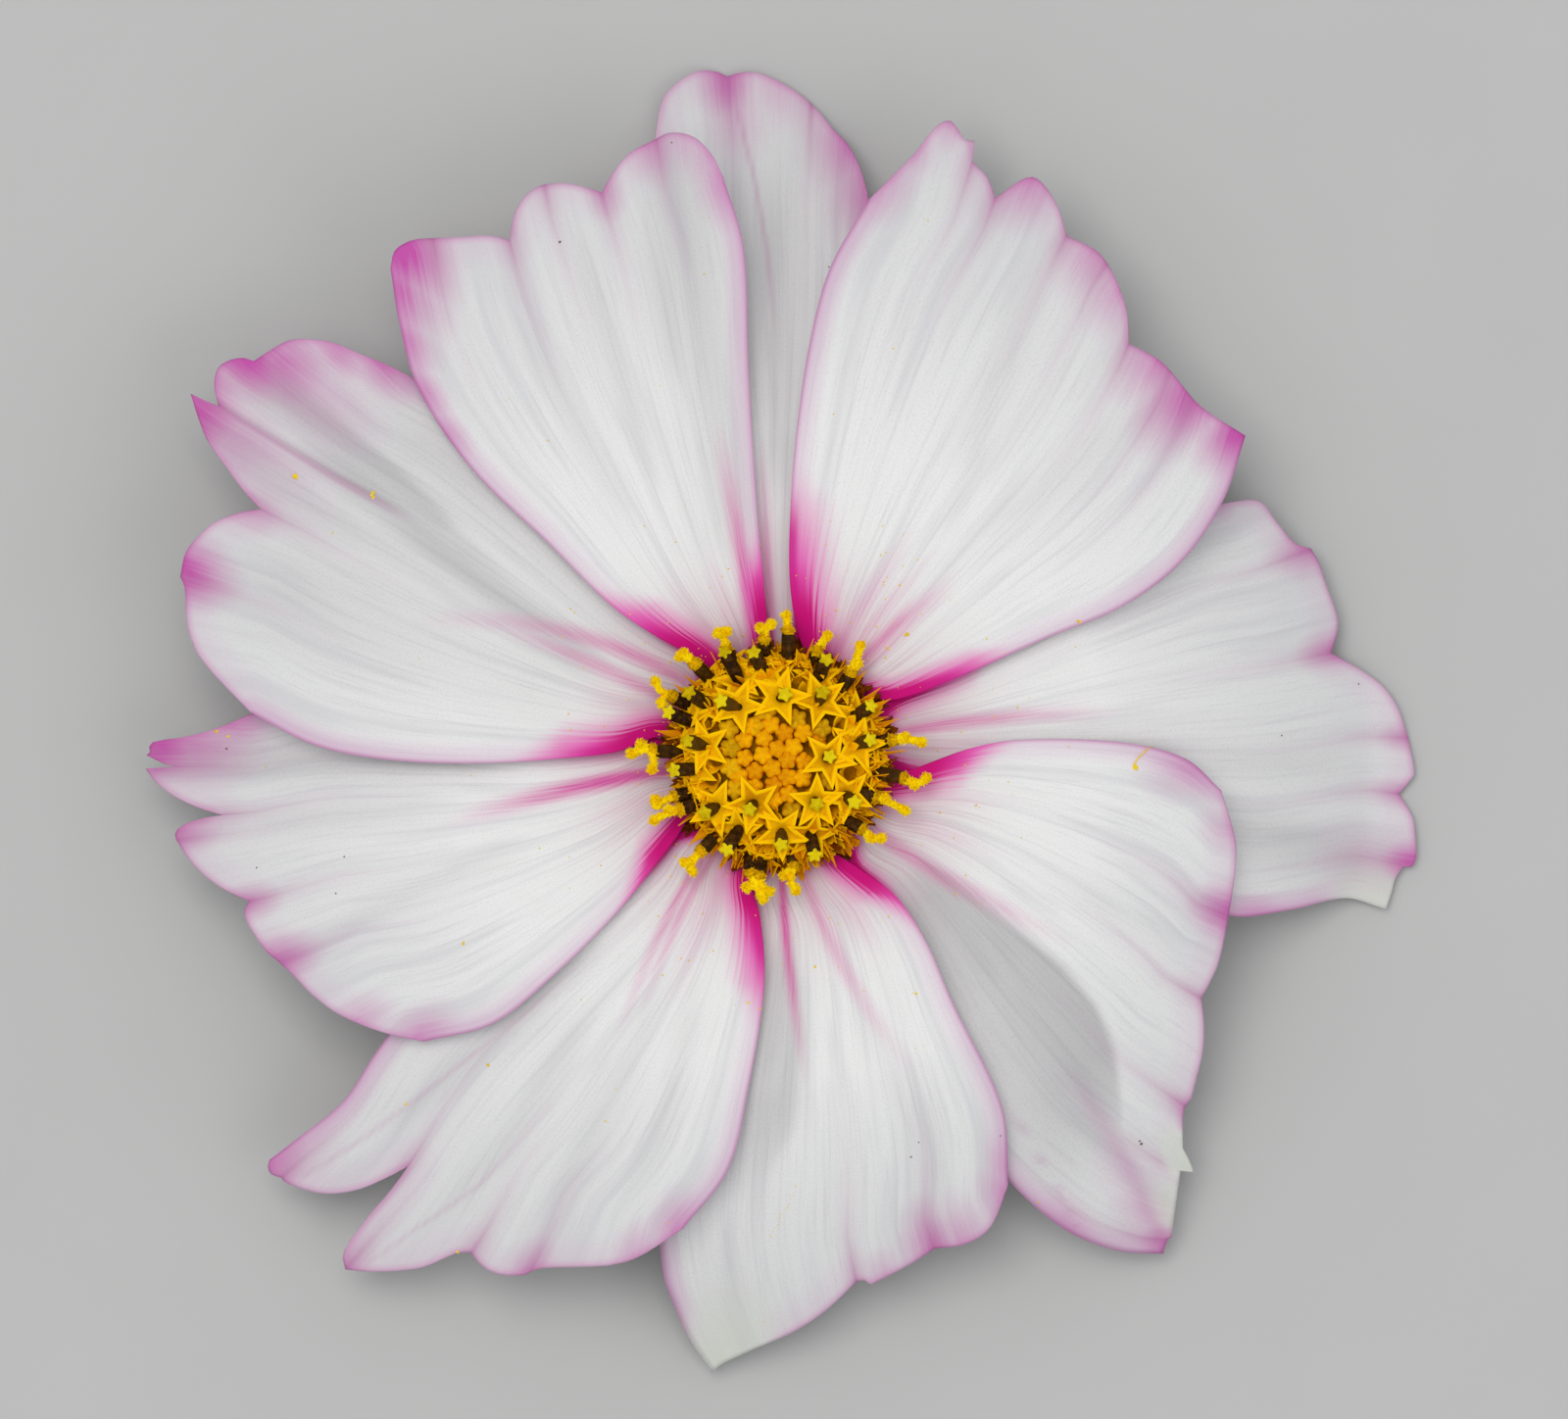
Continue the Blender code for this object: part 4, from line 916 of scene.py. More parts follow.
# The open rings: their florets, lean, height over the dome, rise of a tube's end
OPEN_RINGS = ((OPEN, 17, 0.3, 0.55), (LEANING, 36, 0.15, 0.85))
DISC_TOP = [(0.0, 12.55), (2.5, 12.45), (4.0, 12.15), (5.2, 11.55), (6.0, 10.9), (6.5, 10.2), (7.5, 9.9)]
DISC_CORE = [(3.3, 7.35), (4.65, 7.95), (4.65, 9.2), (6.0, 10.2), (6.1, 10.6), (5.2, 11.2), (3.8, 11.6),
             (2.0, 11.8), (0.4, 11.85)]
BUD_TOP = 12.85            # height of a closed bud in the middle
BUD_DROP = 0.035           # how much lower it stands a millimetre out, more by the square
BUD_LEAN = 3.5             # degrees that it leans for each millimetre out
YOUNG_TOP = 12.62
YOUNG_LEAN = 14
YOUNG_SIZE = (1.22, 1.1)
TUBE_TOP = 13.12           # no tube of anthers ends higher
TUBE_FOOT = 0.75           # how far it starts below the corolla's middle
OUTER_TUBE_TOP = 11.35
OUTER_LEAN = 62
LOBE_REACH = 1.75          # of the open corolla's blank
SLEEVE_RADII = [0.36, 0.42, 0.27]
STIGMA_RADIUS = 0.21
KNOB_RADIUS = 0.24
FIFTH = math.pi / 5        # half the turn between two of five lobes


def disc_height(x, y):
    """Height of the disc's dome, that the florets stand on."""
    return float(np.interp(math.hypot(x, y), *zip(*DISC_TOP)))


def lean_out(x, y, lean):
    """Direction that leans outwards from the disc's middle, lean in degrees."""
    out = Vector((x, y, 0)).normalized()
    return out * math.sin(math.radians(lean)) + Vector((0, 0, math.cos(math.radians(lean))))


def aim_at(axis):
    return axis.to_track_quat("Z", "Y").to_matrix().to_4x4()


def frame_at(middle, axis, turn=0.0, size=1.0, length=1.0):
    """Matrix that stands a template, modelled in millimetres, at a place along an axis, in metres."""
    return (Matrix.Scale(MM, 4) @ Matrix.Translation(middle) @ aim_at(axis.normalized())
            @ Matrix.Rotation(turn, 4, "Z") @ Matrix.Diagonal((size, size, size * length, 1)))


def frame_between(root, tip, turn, size=1.0):
    along = tip - root
    return frame_at(root, along, turn, size, along.length)


def stood(draw, spot, height, leans, lifts, sizes, tones, length=1.0):
    """A floret's frame and tone, drawn between the given limits, over a plan place."""
    axis = lean_out(spot.x, spot.y, draw.uniform(*leans))
    middle = place_at(spot.x, spot.y, height + draw.uniform(*lifts))
    return frame_at(middle, axis, draw.uniform(0, 6), draw.uniform(*sizes), length), draw.uniform(*tones)


def stood_ring(draw, count, wobble, reach, *limits):
    """Frames and tones of a ring of florets."""
    copies = []
    for number in range(count):
        turn = 360 / count * number + draw.uniform(-wobble, wobble)
        spot = plan(draw.uniform(*reach), turn)
        copies.append(stood(draw, spot, disc_height(*spot), *limits))
    return copies


def lay_out(name, template, copies, material, smooth=40):
    """A template laid out by frames, each with a tone of its own, as one piece of the disc."""
    pieces = []
    for stand, tone in copies:
        piece = copy_of(template)
        piece.data.transform(stand)
        point_values(piece, tone=tone)
        pieces.append(piece)
    bpy.data.objects.remove(template)
    hand_over(join_all(name, pieces), material, "disc_florets", smooth, 1.0)


def ring_stack(name, sides, rings, closed=True):
    """A turned blank: a circle extruded from ring to ring, each (radius, height)."""
    bpy.ops.mesh.primitive_circle_add(vertices=sides, radius=rings[0][0], location=(0, 0, 0))
    piece = active_piece(name)
    bpy.ops.object.mode_set(mode="EDIT")
    bpy.ops.mesh.select_all(action="SELECT")
    bpy.ops.transform.translate(value=(0, 0, rings[0][1]))
    for (near, low), (far, high) in zip(rings, rings[1:]):
        bpy.ops.mesh.extrude_region_move(TRANSFORM_OT_translate={"value": (0, 0, high - low)})
        bpy.ops.transform.resize(value=(far / near, far / near, 1), center_override=(0, 0, high))
    bpy.ops.mesh.select_all(action="SELECT")
    if closed:
        bpy.ops.mesh.fill_holes(sides=0)
        bpy.ops.mesh.select_all(action="SELECT")
    bpy.ops.mesh.normals_make_consistent(inside=False)
    bpy.ops.object.mode_set(mode="OBJECT")
    return piece


def reshape(piece, sides, rule):
    """Move a turned blank's points by a rule, from ring, angle, reach and height to reach, height and "edge".

    "edge" is 1 at the edge of a lobe and 0 well inside it.
    """
    edges = []
    for index, vert in enumerate(piece.data.vertices):
        angle = math.atan2(vert.co.y, vert.co.x)
        reach, height, edge = rule(index // sides, angle, math.hypot(vert.co.x, vert.co.y), vert.co.z)
        vert.co = (reach * math.cos(angle), reach * math.sin(angle), height)
        edges.append(edge)
    point_values(piece, edge=edges)
    return piece


def from_point(angle):
    """Turn from the nearest of five points, the first at angle 0."""
    return abs((angle + FIFTH) % (2 * FIFTH) - FIFTH)


def star_reach(angle, tip, notch):
    """Radius of a five-pointed star's outline at an angle."""
    within = from_point(angle)
    return tip * notch * math.sin(FIFTH) / (tip * math.sin(within) + notch * math.sin(FIFTH - within))


def star_margin(reach, angle, tip, notch):
    """Distance of a place inside a five-pointed star from the star's outline."""
    within = from_point(angle)
    side = Vector((notch * math.cos(FIFTH), notch * math.sin(FIFTH))) - Vector((tip, 0))
    spot = Vector((reach * math.cos(within), reach * math.sin(within))) - Vector((tip, 0))
    return abs(side.x * spot.y - side.y * spot.x) / side.length


def corolla_blank():
    """An open corolla: a rounded bell with five pointed lobes, their edges thick and raised."""
    bell = [(0.3, -1.75), (0.5, -1.45), (0.66, -1.05), (0.74, -0.65), (0.7, -0.34), (0.56, -0.26)]
    shares = (0.0, 0.14, 0.28, 0.42, 0.55, 0.67, 0.77, 0.86, 0.93, 1.0)
    tip, notch, throat, sides = 1.88, 0.8, 0.34, 60
    flat = [(0.4 + 0.1 * share, -0.24 + 0.01 * share) for share in shares]

    def rule(ring, angle, reach, height):
        if ring < len(bell):
            return reach * (1 + 0.05 * math.cos(5 * angle)), height, 0
        reach = throat + (star_reach(angle, tip, notch) - throat) * shares[ring - len(bell)]
        margin = star_margin(reach, angle, tip, notch)
        arched = 0.42 * math.sin(min(1, reach / 0.95) * math.pi / 2) ** 1.5
        drooping = 0.1 * max(0, reach - 0.8) - 0.16 * max(0, reach - 1.1) ** 2
        edge_roll = 0.055 * math.exp(-((margin - 0.09) / 0.09) ** 2) * min(1, reach / 0.8)
        fold = 0.08 * math.cos(2.5 * angle) ** 2 * min(1, max(0, reach - 0.5) / 0.4) * min(1, margin / 0.2)
        return reach, -0.26 + arched + drooping + edge_roll - fold, 1 - min(1, margin / 0.34)

    piece = reshape(ring_stack("corolla", sides, bell + flat, closed=False), sides, rule)
    thicken(piece, 0.11, -1.0)
    return piece


def cup_blank():
    """A half-open corolla: a bell whose five pointed lobes still stand up round its mouth."""
    bell = [(0.26, -1.5), (0.42, -1.2), (0.56, -0.85), (0.64, -0.5), (0.66, -0.2)]
    shares = (0.2, 0.4, 0.6, 0.8, 1.0)
    mouth, sides = [(0.66 + 0.02 * share, -0.2 + 0.1 * share) for share in shares], 40

    def rule(ring, angle, reach, height):
        if ring < len(bell):
            return reach, height, 0
        share = shares[ring - len(bell)]
        pointed = 1 - from_point(angle) / FIFTH
        reach = 0.66 + share * (0.08 + 0.42 * pointed) - 0.06 * share * math.cos(2.5 * angle) ** 8
        height = -0.2 + share * (0.06 + 0.88 * pointed) - 0.1 * (share * pointed) ** 2
        return reach, height, share ** 3

    piece = reshape(ring_stack("cup", sides, bell + mouth, closed=False), sides, rule)
    thicken(piece, 0.1, -1.0)
    return piece


def bud_blank():
    """A closed bud: five blunt lobes shut over the top, with a seam between each two."""
    rings = [(0.3, -1.3), (0.46, -0.9), (0.54, -0.45), (0.56, -0.18), (0.52, -0.05), (0.44, 0.03),
             (0.32, 0.07), (0.18, 0.08), (0.06, 0.06)]

    def rule(ring, angle, reach, height):
        radius, height = rings[ring]
        lobe = 0.5 + 0.5 * math.cos(5 * angle)
        seam = math.exp(-((1 - lobe) / 0.1 - 10) ** 2 / 14)
        upper = min(1, max(0, (height + 0.6) / 0.4))
        reach = radius * (1 - 0.24 * upper * (1 - lobe ** 0.6))
        return reach, height - 0.07 * seam * upper * min(1, radius / 0.3), 0

    return reshape(ring_stack("bud", 40, rings), 40, rule)


def tube_blank():
    """A tube of anthers, one unit long, ridged where the anthers join."""
    rings = [(0.34, 0.0), (0.38, 0.3), (0.4, 0.6), (0.41, 0.85), (0.38, 0.97), (0.28, 1.0)]

    def rule(ring, angle, reach, height):
        return reach * (1 + 0.07 * abs(math.cos(2.5 * angle)) + 0.03 * math.cos(10 * angle)), height, 0

    return reshape(ring_stack("anthers", 30, rings), 30, rule)


def anther_star_blank():
    """The five pale tips of the anthers, spread as a small star."""
    rings = [(0.14, -0.12), (0.3, -0.1), (0.46, -0.05), (0.5, 0.0), (0.46, 0.05), (0.3, 0.1), (0.12, 0.12)]

    def rule(ring, angle, reach, height):
        raised = 0.07 * math.cos(2.5 * angle) ** 2 * reach / 0.5
        return reach * (0.15 + 0.85 * star_reach(angle, 1.0, 0.52)), height + raised, 0

    return reshape(ring_stack("anther_star", 30, rings), 30, rule)


def scale_blank(half_width=0.4):
    """A narrow pointed scale, one unit long, folded along its middle."""
    bpy.ops.mesh.primitive_grid_add(x_subdivisions=8, y_subdivisions=4, size=1, location=(0, 0, 0),
                                    calc_uvs=False)
    piece = active_piece("scale")
    for vert in piece.data.vertices:
        along = vert.co.x + 0.5
        half = half_width * (math.sin(math.pi * min(1, along * 0.9 + 0.1)) ** 0.7) * (1 - along ** 3)
        across = vert.co.y * 2
        vert.co = (across * half, 0.35 * abs(across) * half, along)
    thicken(piece, 0.06)
    return piece


def roughen(piece, amount, spikes, seed):
    """Poke the faces of a piece up into small spikes, some of them long, for a coat of pollen."""
    select_only(piece)
    bpy.ops.object.mode_set(mode="EDIT")
    bpy.ops.mesh.select_all(action="SELECT")
    bpy.ops.mesh.poke(offset=spikes * 0.4)
    bpy.ops.mesh.select_all(action="DESELECT")
    bpy.ops.mesh.select_mode(type="FACE")
    bpy.ops.mesh.select_random(ratio=0.10, seed=seed)
    bpy.ops.mesh.poke(offset=spikes * 1.5)
    bpy.ops.mesh.select_mode(type="VERT")
    bpy.ops.object.mode_set(mode="OBJECT")
    draw = random.Random(seed)
    for vert in piece.data.vertices:
        vert.co += any_way(draw, amount)
    return piece


def rod(name, path, radii, steps):
    """A round rod through points with a radius at each, as a mesh of its own, in millimetres."""
    curve = bpy.data.curves.new(name, "CURVE")
    curve.dimensions = "3D"
    curve.bevel_depth = 1.0
    curve.bevel_resolution = 2
    curve.resolution_u = steps
    curve.use_fill_caps = True
    line = curve.splines.new("BEZIER")
    line.bezier_points.add(len(path) - 1)
    for point, place, radius in zip(line.bezier_points, path, radii):
        point.co = place
        point.radius = radius
        point.handle_left_type = point.handle_right_type = "AUTO"
    piece = bpy.data.objects.new(name, curve)
    bpy.context.scene.collection.objects.link(piece)
    select_only(piece)
    bpy.ops.object.convert(target="MESH")
    return bpy.context.object


def plant_material(name, deep, light, roughness=0.7, scale=2500.0, tone=0.3, edge=None):
    """A finely mottled plant surface, shifted between two colors by each copy's tone."""
    n = Nodes(name)
    place = n.place()
    mottle = n.grain(place, scale, 3, 0.6)
    factor = n.plus(n.times(mottle, 0.7), n.times(n.grain(place, scale / 4), 0.5))
    factor = n.plus(factor, n.times(n.point_value("tone"), tone))
    color = n.blend(n.span(factor, 0.3, 0.85), deep, light)
    if edge:
        low, high, edge_color = edge
        color = n.blend(n.span(n.point_value("edge"), low, high), color, edge_color)
    return n.finish(color, roughness, 0.03, mottle)


def tube_material():
    """Dark brown anthers with fine lengthwise lines."""
    n = Nodes("dark_anthers")
    mottle = n.grain(n.place(), 3000.0, 3)
    color = n.blend(n.span(mottle, 0.35, 0.75), (0.014, 0.004, 0.001), (0.085, 0.032, 0.003))
    # a high tone lightens a tube: painted light, bounced inside its corolla
    color = n.blend(n.times(n.point_value("tone"), 0.45), color, (0.2, 0.1, 0.004))
    return n.finish(color, 0.6, 0.08, mottle, bump=0.4, depth=0.00004)


def make_core():
    """The disc's dome, a little lumpy."""
    core = ring_stack("disc_core", 48, DISC_CORE)
    for vert in core.data.vertices:
        vert.co += place_at(0, 0, noise.noise(vert.co * 1.7) * 0.12)
    point_values(core, tone=0)
    dome = plant_material("disc_dome", (0.1, 0.035, 0.001), (0.42, 0.2, 0.002), 0.8, scale=1200.0)
    hand_over(core, dome, "disc_florets")


def make_buds(draw):
    """Closed buds in the middle, and the paler ones round them."""
    orange = plant_material("orange_bud", (0.7, 0.26, 0.001), (0.92, 0.45, 0.001))
    olive = plant_material("olive_bud", (0.42, 0.21, 0.002), (0.8, 0.43, 0.003))
    copies = []
    for x, y in BUDS:
        lean = lean_out(x + 1e-3, y, BUD_LEAN * math.hypot(x, y))
        height = BUD_TOP - BUD_DROP * (x * x + y * y) + draw.uniform(-0.08, 0.08)
        stand = frame_at(place_at(x, y, height), lean, draw.uniform(0, 6.3), draw.uniform(1.03, 1.13))
        copies.append((stand, draw.uniform(-0.6, 0.9)))
    lay_out("closed_buds", bud_blank(), copies, orange, 60)
    stands = [frame_at(place_at(x, y, YOUNG_TOP), lean_out(x, y, YOUNG_LEAN), draw.uniform(0, 6.3),
                       *YOUNG_SIZE) for x, y in YOUNG]
    copies = [(stand, draw.uniform(-0.5, 0.9)) for stand in stands]
    lay_out("young_buds", bud_blank(), copies, olive, 60)


def open_florets(draw, corollas, tubes):
    """Stand up the open and the leaning corollas with their tubes. Gives the place and aim of each star."""
    stars = []
    for ring, (group, lean, lift, rise) in enumerate(OPEN_RINGS):
        for (x, y), turn, reach, (end_x, end_y) in group:
            axis = lean_out(x, y, lean * (0.55 + 0.45 * min(1, math.hypot(x, y) / 4)))
            middle = place_at(x, y, disc_height(x, y) + lift)
            # the lobes' turn is counted in plan: after the aim, the blank's first lobe lies this way
            first = axis.to_track_quat("Z", "Y") @ Vector((1, 0, 0))
            spin = math.radians(turn) - math.atan2(first.y, first.x)
            tone = draw.uniform(-0.4, 0.8) - 0.3 * ring
            corollas.append((frame_at(middle, axis, spin, reach / LOBE_REACH), tone))
            foot = middle - axis * TUBE_FOOT
            end = place_at(end_x, end_y, min(TUBE_TOP, middle.z + rise))
            along = end - foot
            slim = 0.7 + 0.3 * min(1, math.hypot(end_x - x, end_y - y) / 0.9)
            stand = frame_at(foot, along, draw.uniform(0, 6), slim, along.length / slim)
            # the open ring's tubes are toned lighter than the leaning ring's: painted light bounced inside
            # their corollas
            tubes.append((stand, 0.8 - 0.6 * ring + draw.uniform(-0.2, 0.1)))
            ahead = along.normalized()
            stars.append((end + ahead * 0.04, (ahead + Vector((0, 0, 0.9))).normalized()))
    return stars


def outer_florets(draw, corollas, tubes):
    """Stand up the outer corollas and tubes. Gives the pollen sleeves and the stigmas, modelled in place."""
    sleeves, stigmas = [], []
    for number, (foot_xy, end_xy, sleeve_xy, branches) in enumerate(OUTER):
        foot = place_at(*foot_xy, disc_height(*foot_xy) - 0.25)
        end = place_at(*end_xy, OUTER_TUBE_TOP + draw.uniform(-0.1, 0.25))
        end += (end - foot).normalized() * 0.18
        tubes.append((frame_between(foot, end, draw.uniform(0, 6)), draw.uniform(0.0, 0.25)))
        cap = place_at(*sleeve_xy, end.z + 0.1)
        path = [end - (end - foot).normalized() * 0.06, end + (cap - end) * 0.4, cap]
        sleeves.append(roughen(rod("sleeve", path, SLEEVE_RADII, 4), 0.035, 0.12, number))
        for branch in branches:
            path = [place_at(x, y, end.z + 0.25 + 0.12 * step) for step, (x, y) in enumerate(branch)]
            path = [end + (cap - end) * 0.7] + path
            arm = rod("arm", path, [STIGMA_RADIUS] * (len(path) - 1) + [STIGMA_RADIUS + 0.04], 5)
            stigmas.append(roughen(arm, 0.03, 0.12, number + 40))
            bpy.ops.mesh.primitive_ico_sphere_add(subdivisions=3, radius=KNOB_RADIUS, location=(0, 0, 0))
            knob = active_piece("knob")
            knob.data.transform(Matrix.Translation(path[-1]))
            for vert in knob.data.vertices:
                vert.co += noise.noise_vector(vert.co * 4.0) * 0.1
            stigmas.append(roughen(knob, 0.035, 0.16, number + 80))
        x, y = foot_xy
        middle = place_at(x * 1.04, y * 1.04, disc_height(x, y) - 0.05)
        stand = frame_at(middle, lean_out(x, y, OUTER_LEAN), draw.uniform(0, 6), draw.uniform(0.72, 0.84))
        corollas.append((stand, draw.uniform(-0.6, 0.5)))
    return sleeves, stigmas


def make_lobes(golden):
    """Single pointed lobes of the outer corollas, standing up and outwards all round the rim."""
    draw = random.Random(47)
    copies = []
    for number in range(LOBES):
        turn = 360 / LOBES * number + draw.uniform(-5, 5)
        foot = plan(draw.uniform(4.7, 6.5), turn)
        axis = lean_out(*foot, draw.uniform(38, 84))
        sideways = Vector((-foot.y, foot.x, 0)).normalized() * draw.uniform(-0.45, 0.45)
        root = place_at(*foot, disc_height(*foot) + draw.uniform(-0.3, 0.1))
        along = (axis + sideways).normalized() * draw.uniform(0.95, 1.45)
        face = math.pi / 2 + draw.uniform(-0.6, 0.6)
        copies.append((frame_at(root, along, face, 1.0, along.length), draw.uniform(-1.1, 0.9)))
    lay_out("rim_lobes", scale_blank(0.42), copies, golden)


def make_scales(faded):
    """The long pointed scales between the outer florets, and short ones all round."""
    draw = random.Random(23)
    copies = []
    for x, y in SCALES:
        tip = place_at(x, y, 10.9 + draw.uniform(-0.2, 0.35))
        root = place_at(x * 0.6, y * 0.6, 10.3)
        copies.append((frame_between(root, tip, draw.uniform(0, 6)), draw.uniform(0.3, 1.3)))
    for number in range(SHORT_SCALES):
        turn = math.radians(360 / SHORT_SCALES * number + draw.uniform(-4, 4))
        reach = draw.uniform(6.1, 7.0)
        root = place_at(math.cos(turn) * 4.9, math.sin(turn) * 4.9, draw.uniform(9.9, 10.6))
        swing = turn + draw.uniform(-0.12, 0.12)
        tip = place_at(math.cos(swing) * reach, math.sin(swing) * reach, draw.uniform(10.0, 11.0))
        stand = frame_between(root, tip, draw.uniform(0, 6), draw.uniform(0.8, 1.3))
        copies.append((stand, draw.uniform(-0.6, 1.0)))
    lay_out("scales", scale_blank(), copies, faded)


def make_cups(golden):
    """Half-open corollas that fill the gaps between the open florets, and stand close at the rim."""
    draw = random.Random(41)
    taken = [spot for spot, *_ in OPEN + LEANING] + BUDS + YOUNG
    copies = []
    while len(copies) < CUPS_INSIDE:
        spot = plan(math.sqrt(draw.uniform(3.0 ** 2, 5.9 ** 2)), draw.uniform(0, 360))
        if min(math.dist(spot, other) for other in taken) < CUP_GAP:
            continue
        taken.append(tuple(spot))
        rim = ease(spot.length, 4.2, 6.0)
        copies.append(stood(draw, spot, disc_height(*spot), (2 + 42 * rim, 22 + 42 * rim), (-0.2, 0.05),
                            (0.76, 0.98), (0.5 - 0.3 * rim, 1.4 - 0.3 * rim), 1.1))
    copies += stood_ring(draw, *CUP_RING)
    lay_out("half_open_corollas", cup_blank(), copies, golden)


def make_withered(faded):
    """Withered corollas, shrunk and crumpled, all round under the outer florets."""
    draw = random.Random(31)
    crumpled = cup_blank()
    for vert in crumpled.data.vertices:
        vert.co += noise.noise_vector(vert.co * 2.3) * 0.34
    copies = stood_ring(draw, *WITHERED_RING)
    for turn in CLAW_GAPS:
        for reach in (6.7, 7.2):
            copies.append(stood(draw, plan(reach, turn), 9.0, (50, 80), (-0.15, 0.1), (0.42, 0.52),
                                (-1.2, 0.4)))
    lay_out("withered_florets", crumpled, copies, faded)


def make_disc():
    golden = plant_material("golden_corolla", (0.62, 0.24, 0.001), (0.91, 0.47, 0.001),
                            edge=(0.35, 0.75, (1.0, 0.56, 0.001)))
    faded = plant_material("faded_corolla", (0.2, 0.045, 0.001), (0.82, 0.32, 0.002), scale=900.0, tone=0.55)
    pale = plant_material("pale_anther_tip", (0.52, 0.35, 0.001), (0.8, 0.62, 0.006))
    pollen = plant_material("pollen", (0.88, 0.47, 0.001), (1.0, 0.82, 0.004), 0.9, scale=6000.0)
    coat = plant_material("pollen_sleeve", (0.36, 0.17, 0.001), (0.9, 0.52, 0.002), 0.9, scale=5000.0)
    draw = random.Random(11)
    make_core()
    make_buds(draw)
    corollas, tubes = [], []
    stars = open_florets(draw, corollas, tubes)
    sleeves, stigmas = outer_florets(draw, corollas, tubes)
    lay_out("corollas", corolla_blank(), corollas, golden, 35)
    lay_out("anther_tubes", tube_blank(), tubes, tube_material(), 50)
    stands = [frame_at(spot, aim, draw.uniform(0, 6), draw.uniform(1.05, 1.16)) for spot, aim in stars]
    copies = [(stand, draw.uniform(-0.5, 0.8)) for stand in stands]
    lay_out("anther_stars", anther_star_blank(), copies, pale)
    make_cups(golden)
    make_lobes(golden)
    make_scales(faded)
    make_withered(faded)
    for name, pieces, material in (("pollen_sleeves", sleeves, coat), ("stigmas", stigmas, pollen)):
        joined = join_all(name, pieces)
        point_values(joined, tone=0)
        hand_over(joined, material, "disc_florets", 30)


# ---------------------------------------------------------------- bracts and stem

BRACTS = 8
# A bract's half width along it, from its foot to its point: share of its length, millimetres
INNER_LEAF = [(0.0, 1.3), (0.18, 1.72), (0.4, 1.86), (0.62, 1.7), (0.8, 1.12), (0.92, 0.55), (1.0, 0.04)]
OUTER_LEAF = [(0.0, 0.95), (0.15, 0.74), (0.35, 0.84), (0.55, 0.86), (0.75, 0.62), (0.9, 0.3), (1.0, 0.03)]
INNER_RISE = [(2.8, 6.42), (3.6, 6.45), (5.2, 6.88), (7.0, 7.12), (10.0, 7.4)]
OUTER_RISE = [(2.2, 5.62), (3.0, 5.62), (6.0, 5.52), (10.2, 4.98)]
INNER_HUB = [(2.6, 6.02), (3.5, 6.06), (4.5, 6.36), (5.0, 6.75), (4.9, 7.2), (4.3, 7.5), (3.2, 7.3),
             (0.5, 7.2)]
OUTER_HUB = [(2.3, 5.1), (2.6, 5.25), (2.95, 5.5), (3.0, 5.75), (2.85, 6.0), (2.3, 6.1), (0.4, 6.1)]
# The stem from the bloom down to its cut end: distance out, height and radius
STEM_AZIMUTH = 238.0
STEM_REACH = 32.0
STEM_KNOTS = [(0.0, 5.3, 2.55), (0.0, 4.9, 2.5), (0.0, 4.3, 2.28), (0.35, 3.3, 1.5), (1.4, 2.1, 1.05),
              (3.2, 1.27, 0.91), (6.0, 0.9, 0.88), (32.0, 0.9, 0.88)]
STEM_CUT = [(0.97, 0.05), (0.86, 0.06), (0.62, -0.04), (0.12, -0.06)]      # share of its radius, how proud
STEM_SIDES = 48
STEM_RINGS = 150
STEM_STEP = 0.2            # between the points that its middle line is read off at
STEM_RIBS = 8
RIB_DEPTH = 0.045          # as a share of its radius
STEM_HAIRS = 260
HAIR_RADII = (0.022, 0.004)
HAIR_LENGTH = (0.22, 0.5)
UV_ROUND = 6               # width of the stem's UV map, once round


def leaf_blank(leaf, rise, thickness, ribs, cup):
    """One bract lying along +X from the hub, its ribs raised on the underside and its sides cupped up."""
    bpy.ops.mesh.primitive_grid_add(x_subdivisions=28, y_subdivisions=20, size=2, location=(0, 0, 0),
                                    calc_uvs=False)
    piece = active_piece("bract")
    places = np.array([tuple(vert.co) for vert in piece.data.vertices])
    share, across = (places[:, 0] + 1) / 2, places[:, 1]
    foot, length = rise[0][0], rise[-1][0]
    half = np.interp(share, *zip(*leaf))
    rib = np.cos(across * math.pi * ribs)
    fold = cup * across ** 2 * np.sin(math.pi * np.clip(share, 0, 1)) ** 0.7
    up = fold - rib * 0.035 * np.minimum(1, half / 0.8)
    move_points(piece, np.stack([foot + share * (length - foot), across * half, up], 1))
    point_values(piece, edge=np.abs(across), way=share, rib=0.5 + 0.5 * rib)
    thicken(piece, thickness)
    return piece


def lay_bracts(name, blank, hub, rise, turn, lifts, material, seed):
    """A ring of bracts, each turned to its place and bent to the ring's rise, joined with their hub."""
    draw = random.Random(seed)
    pieces = [ring_stack(name + "_hub", 64, hub)]
    point_values(pieces[0], edge=0, way=0, rib=0, tone=0)
    for number in range(BRACTS):
        piece = copy_of(blank)
        swing, lift, twist = draw.uniform(-3, 3), draw.uniform(*lifts), draw.uniform(-0.06, 0.06)
        phase = draw.uniform(0, 6)
        spin = Matrix.Rotation(math.radians(turn + 360 / BRACTS * number + swing), 3, "Z")
        for vert in piece.data.vertices:
            out, side, up = vert.co
            far = max(0.0, (out - 4.0) / 6)
            side += 0.14 * math.sin(out * 0.5 + phase) * far
            up += np.interp(out, *zip(*rise)) + lift * far ** 1.5 + twist * side * far
            vert.co = spin @ Vector((out, side, up))
        point_values(piece, tone=draw.uniform(-0.5, 0.5))
        pieces.append(piece)
    bpy.data.objects.remove(blank)
    piece = join_all(name + "_leaves", pieces)
    piece.data.transform(Matrix.Translation(place_at(0, 0, 0)))
    hand_over(piece, material, name)


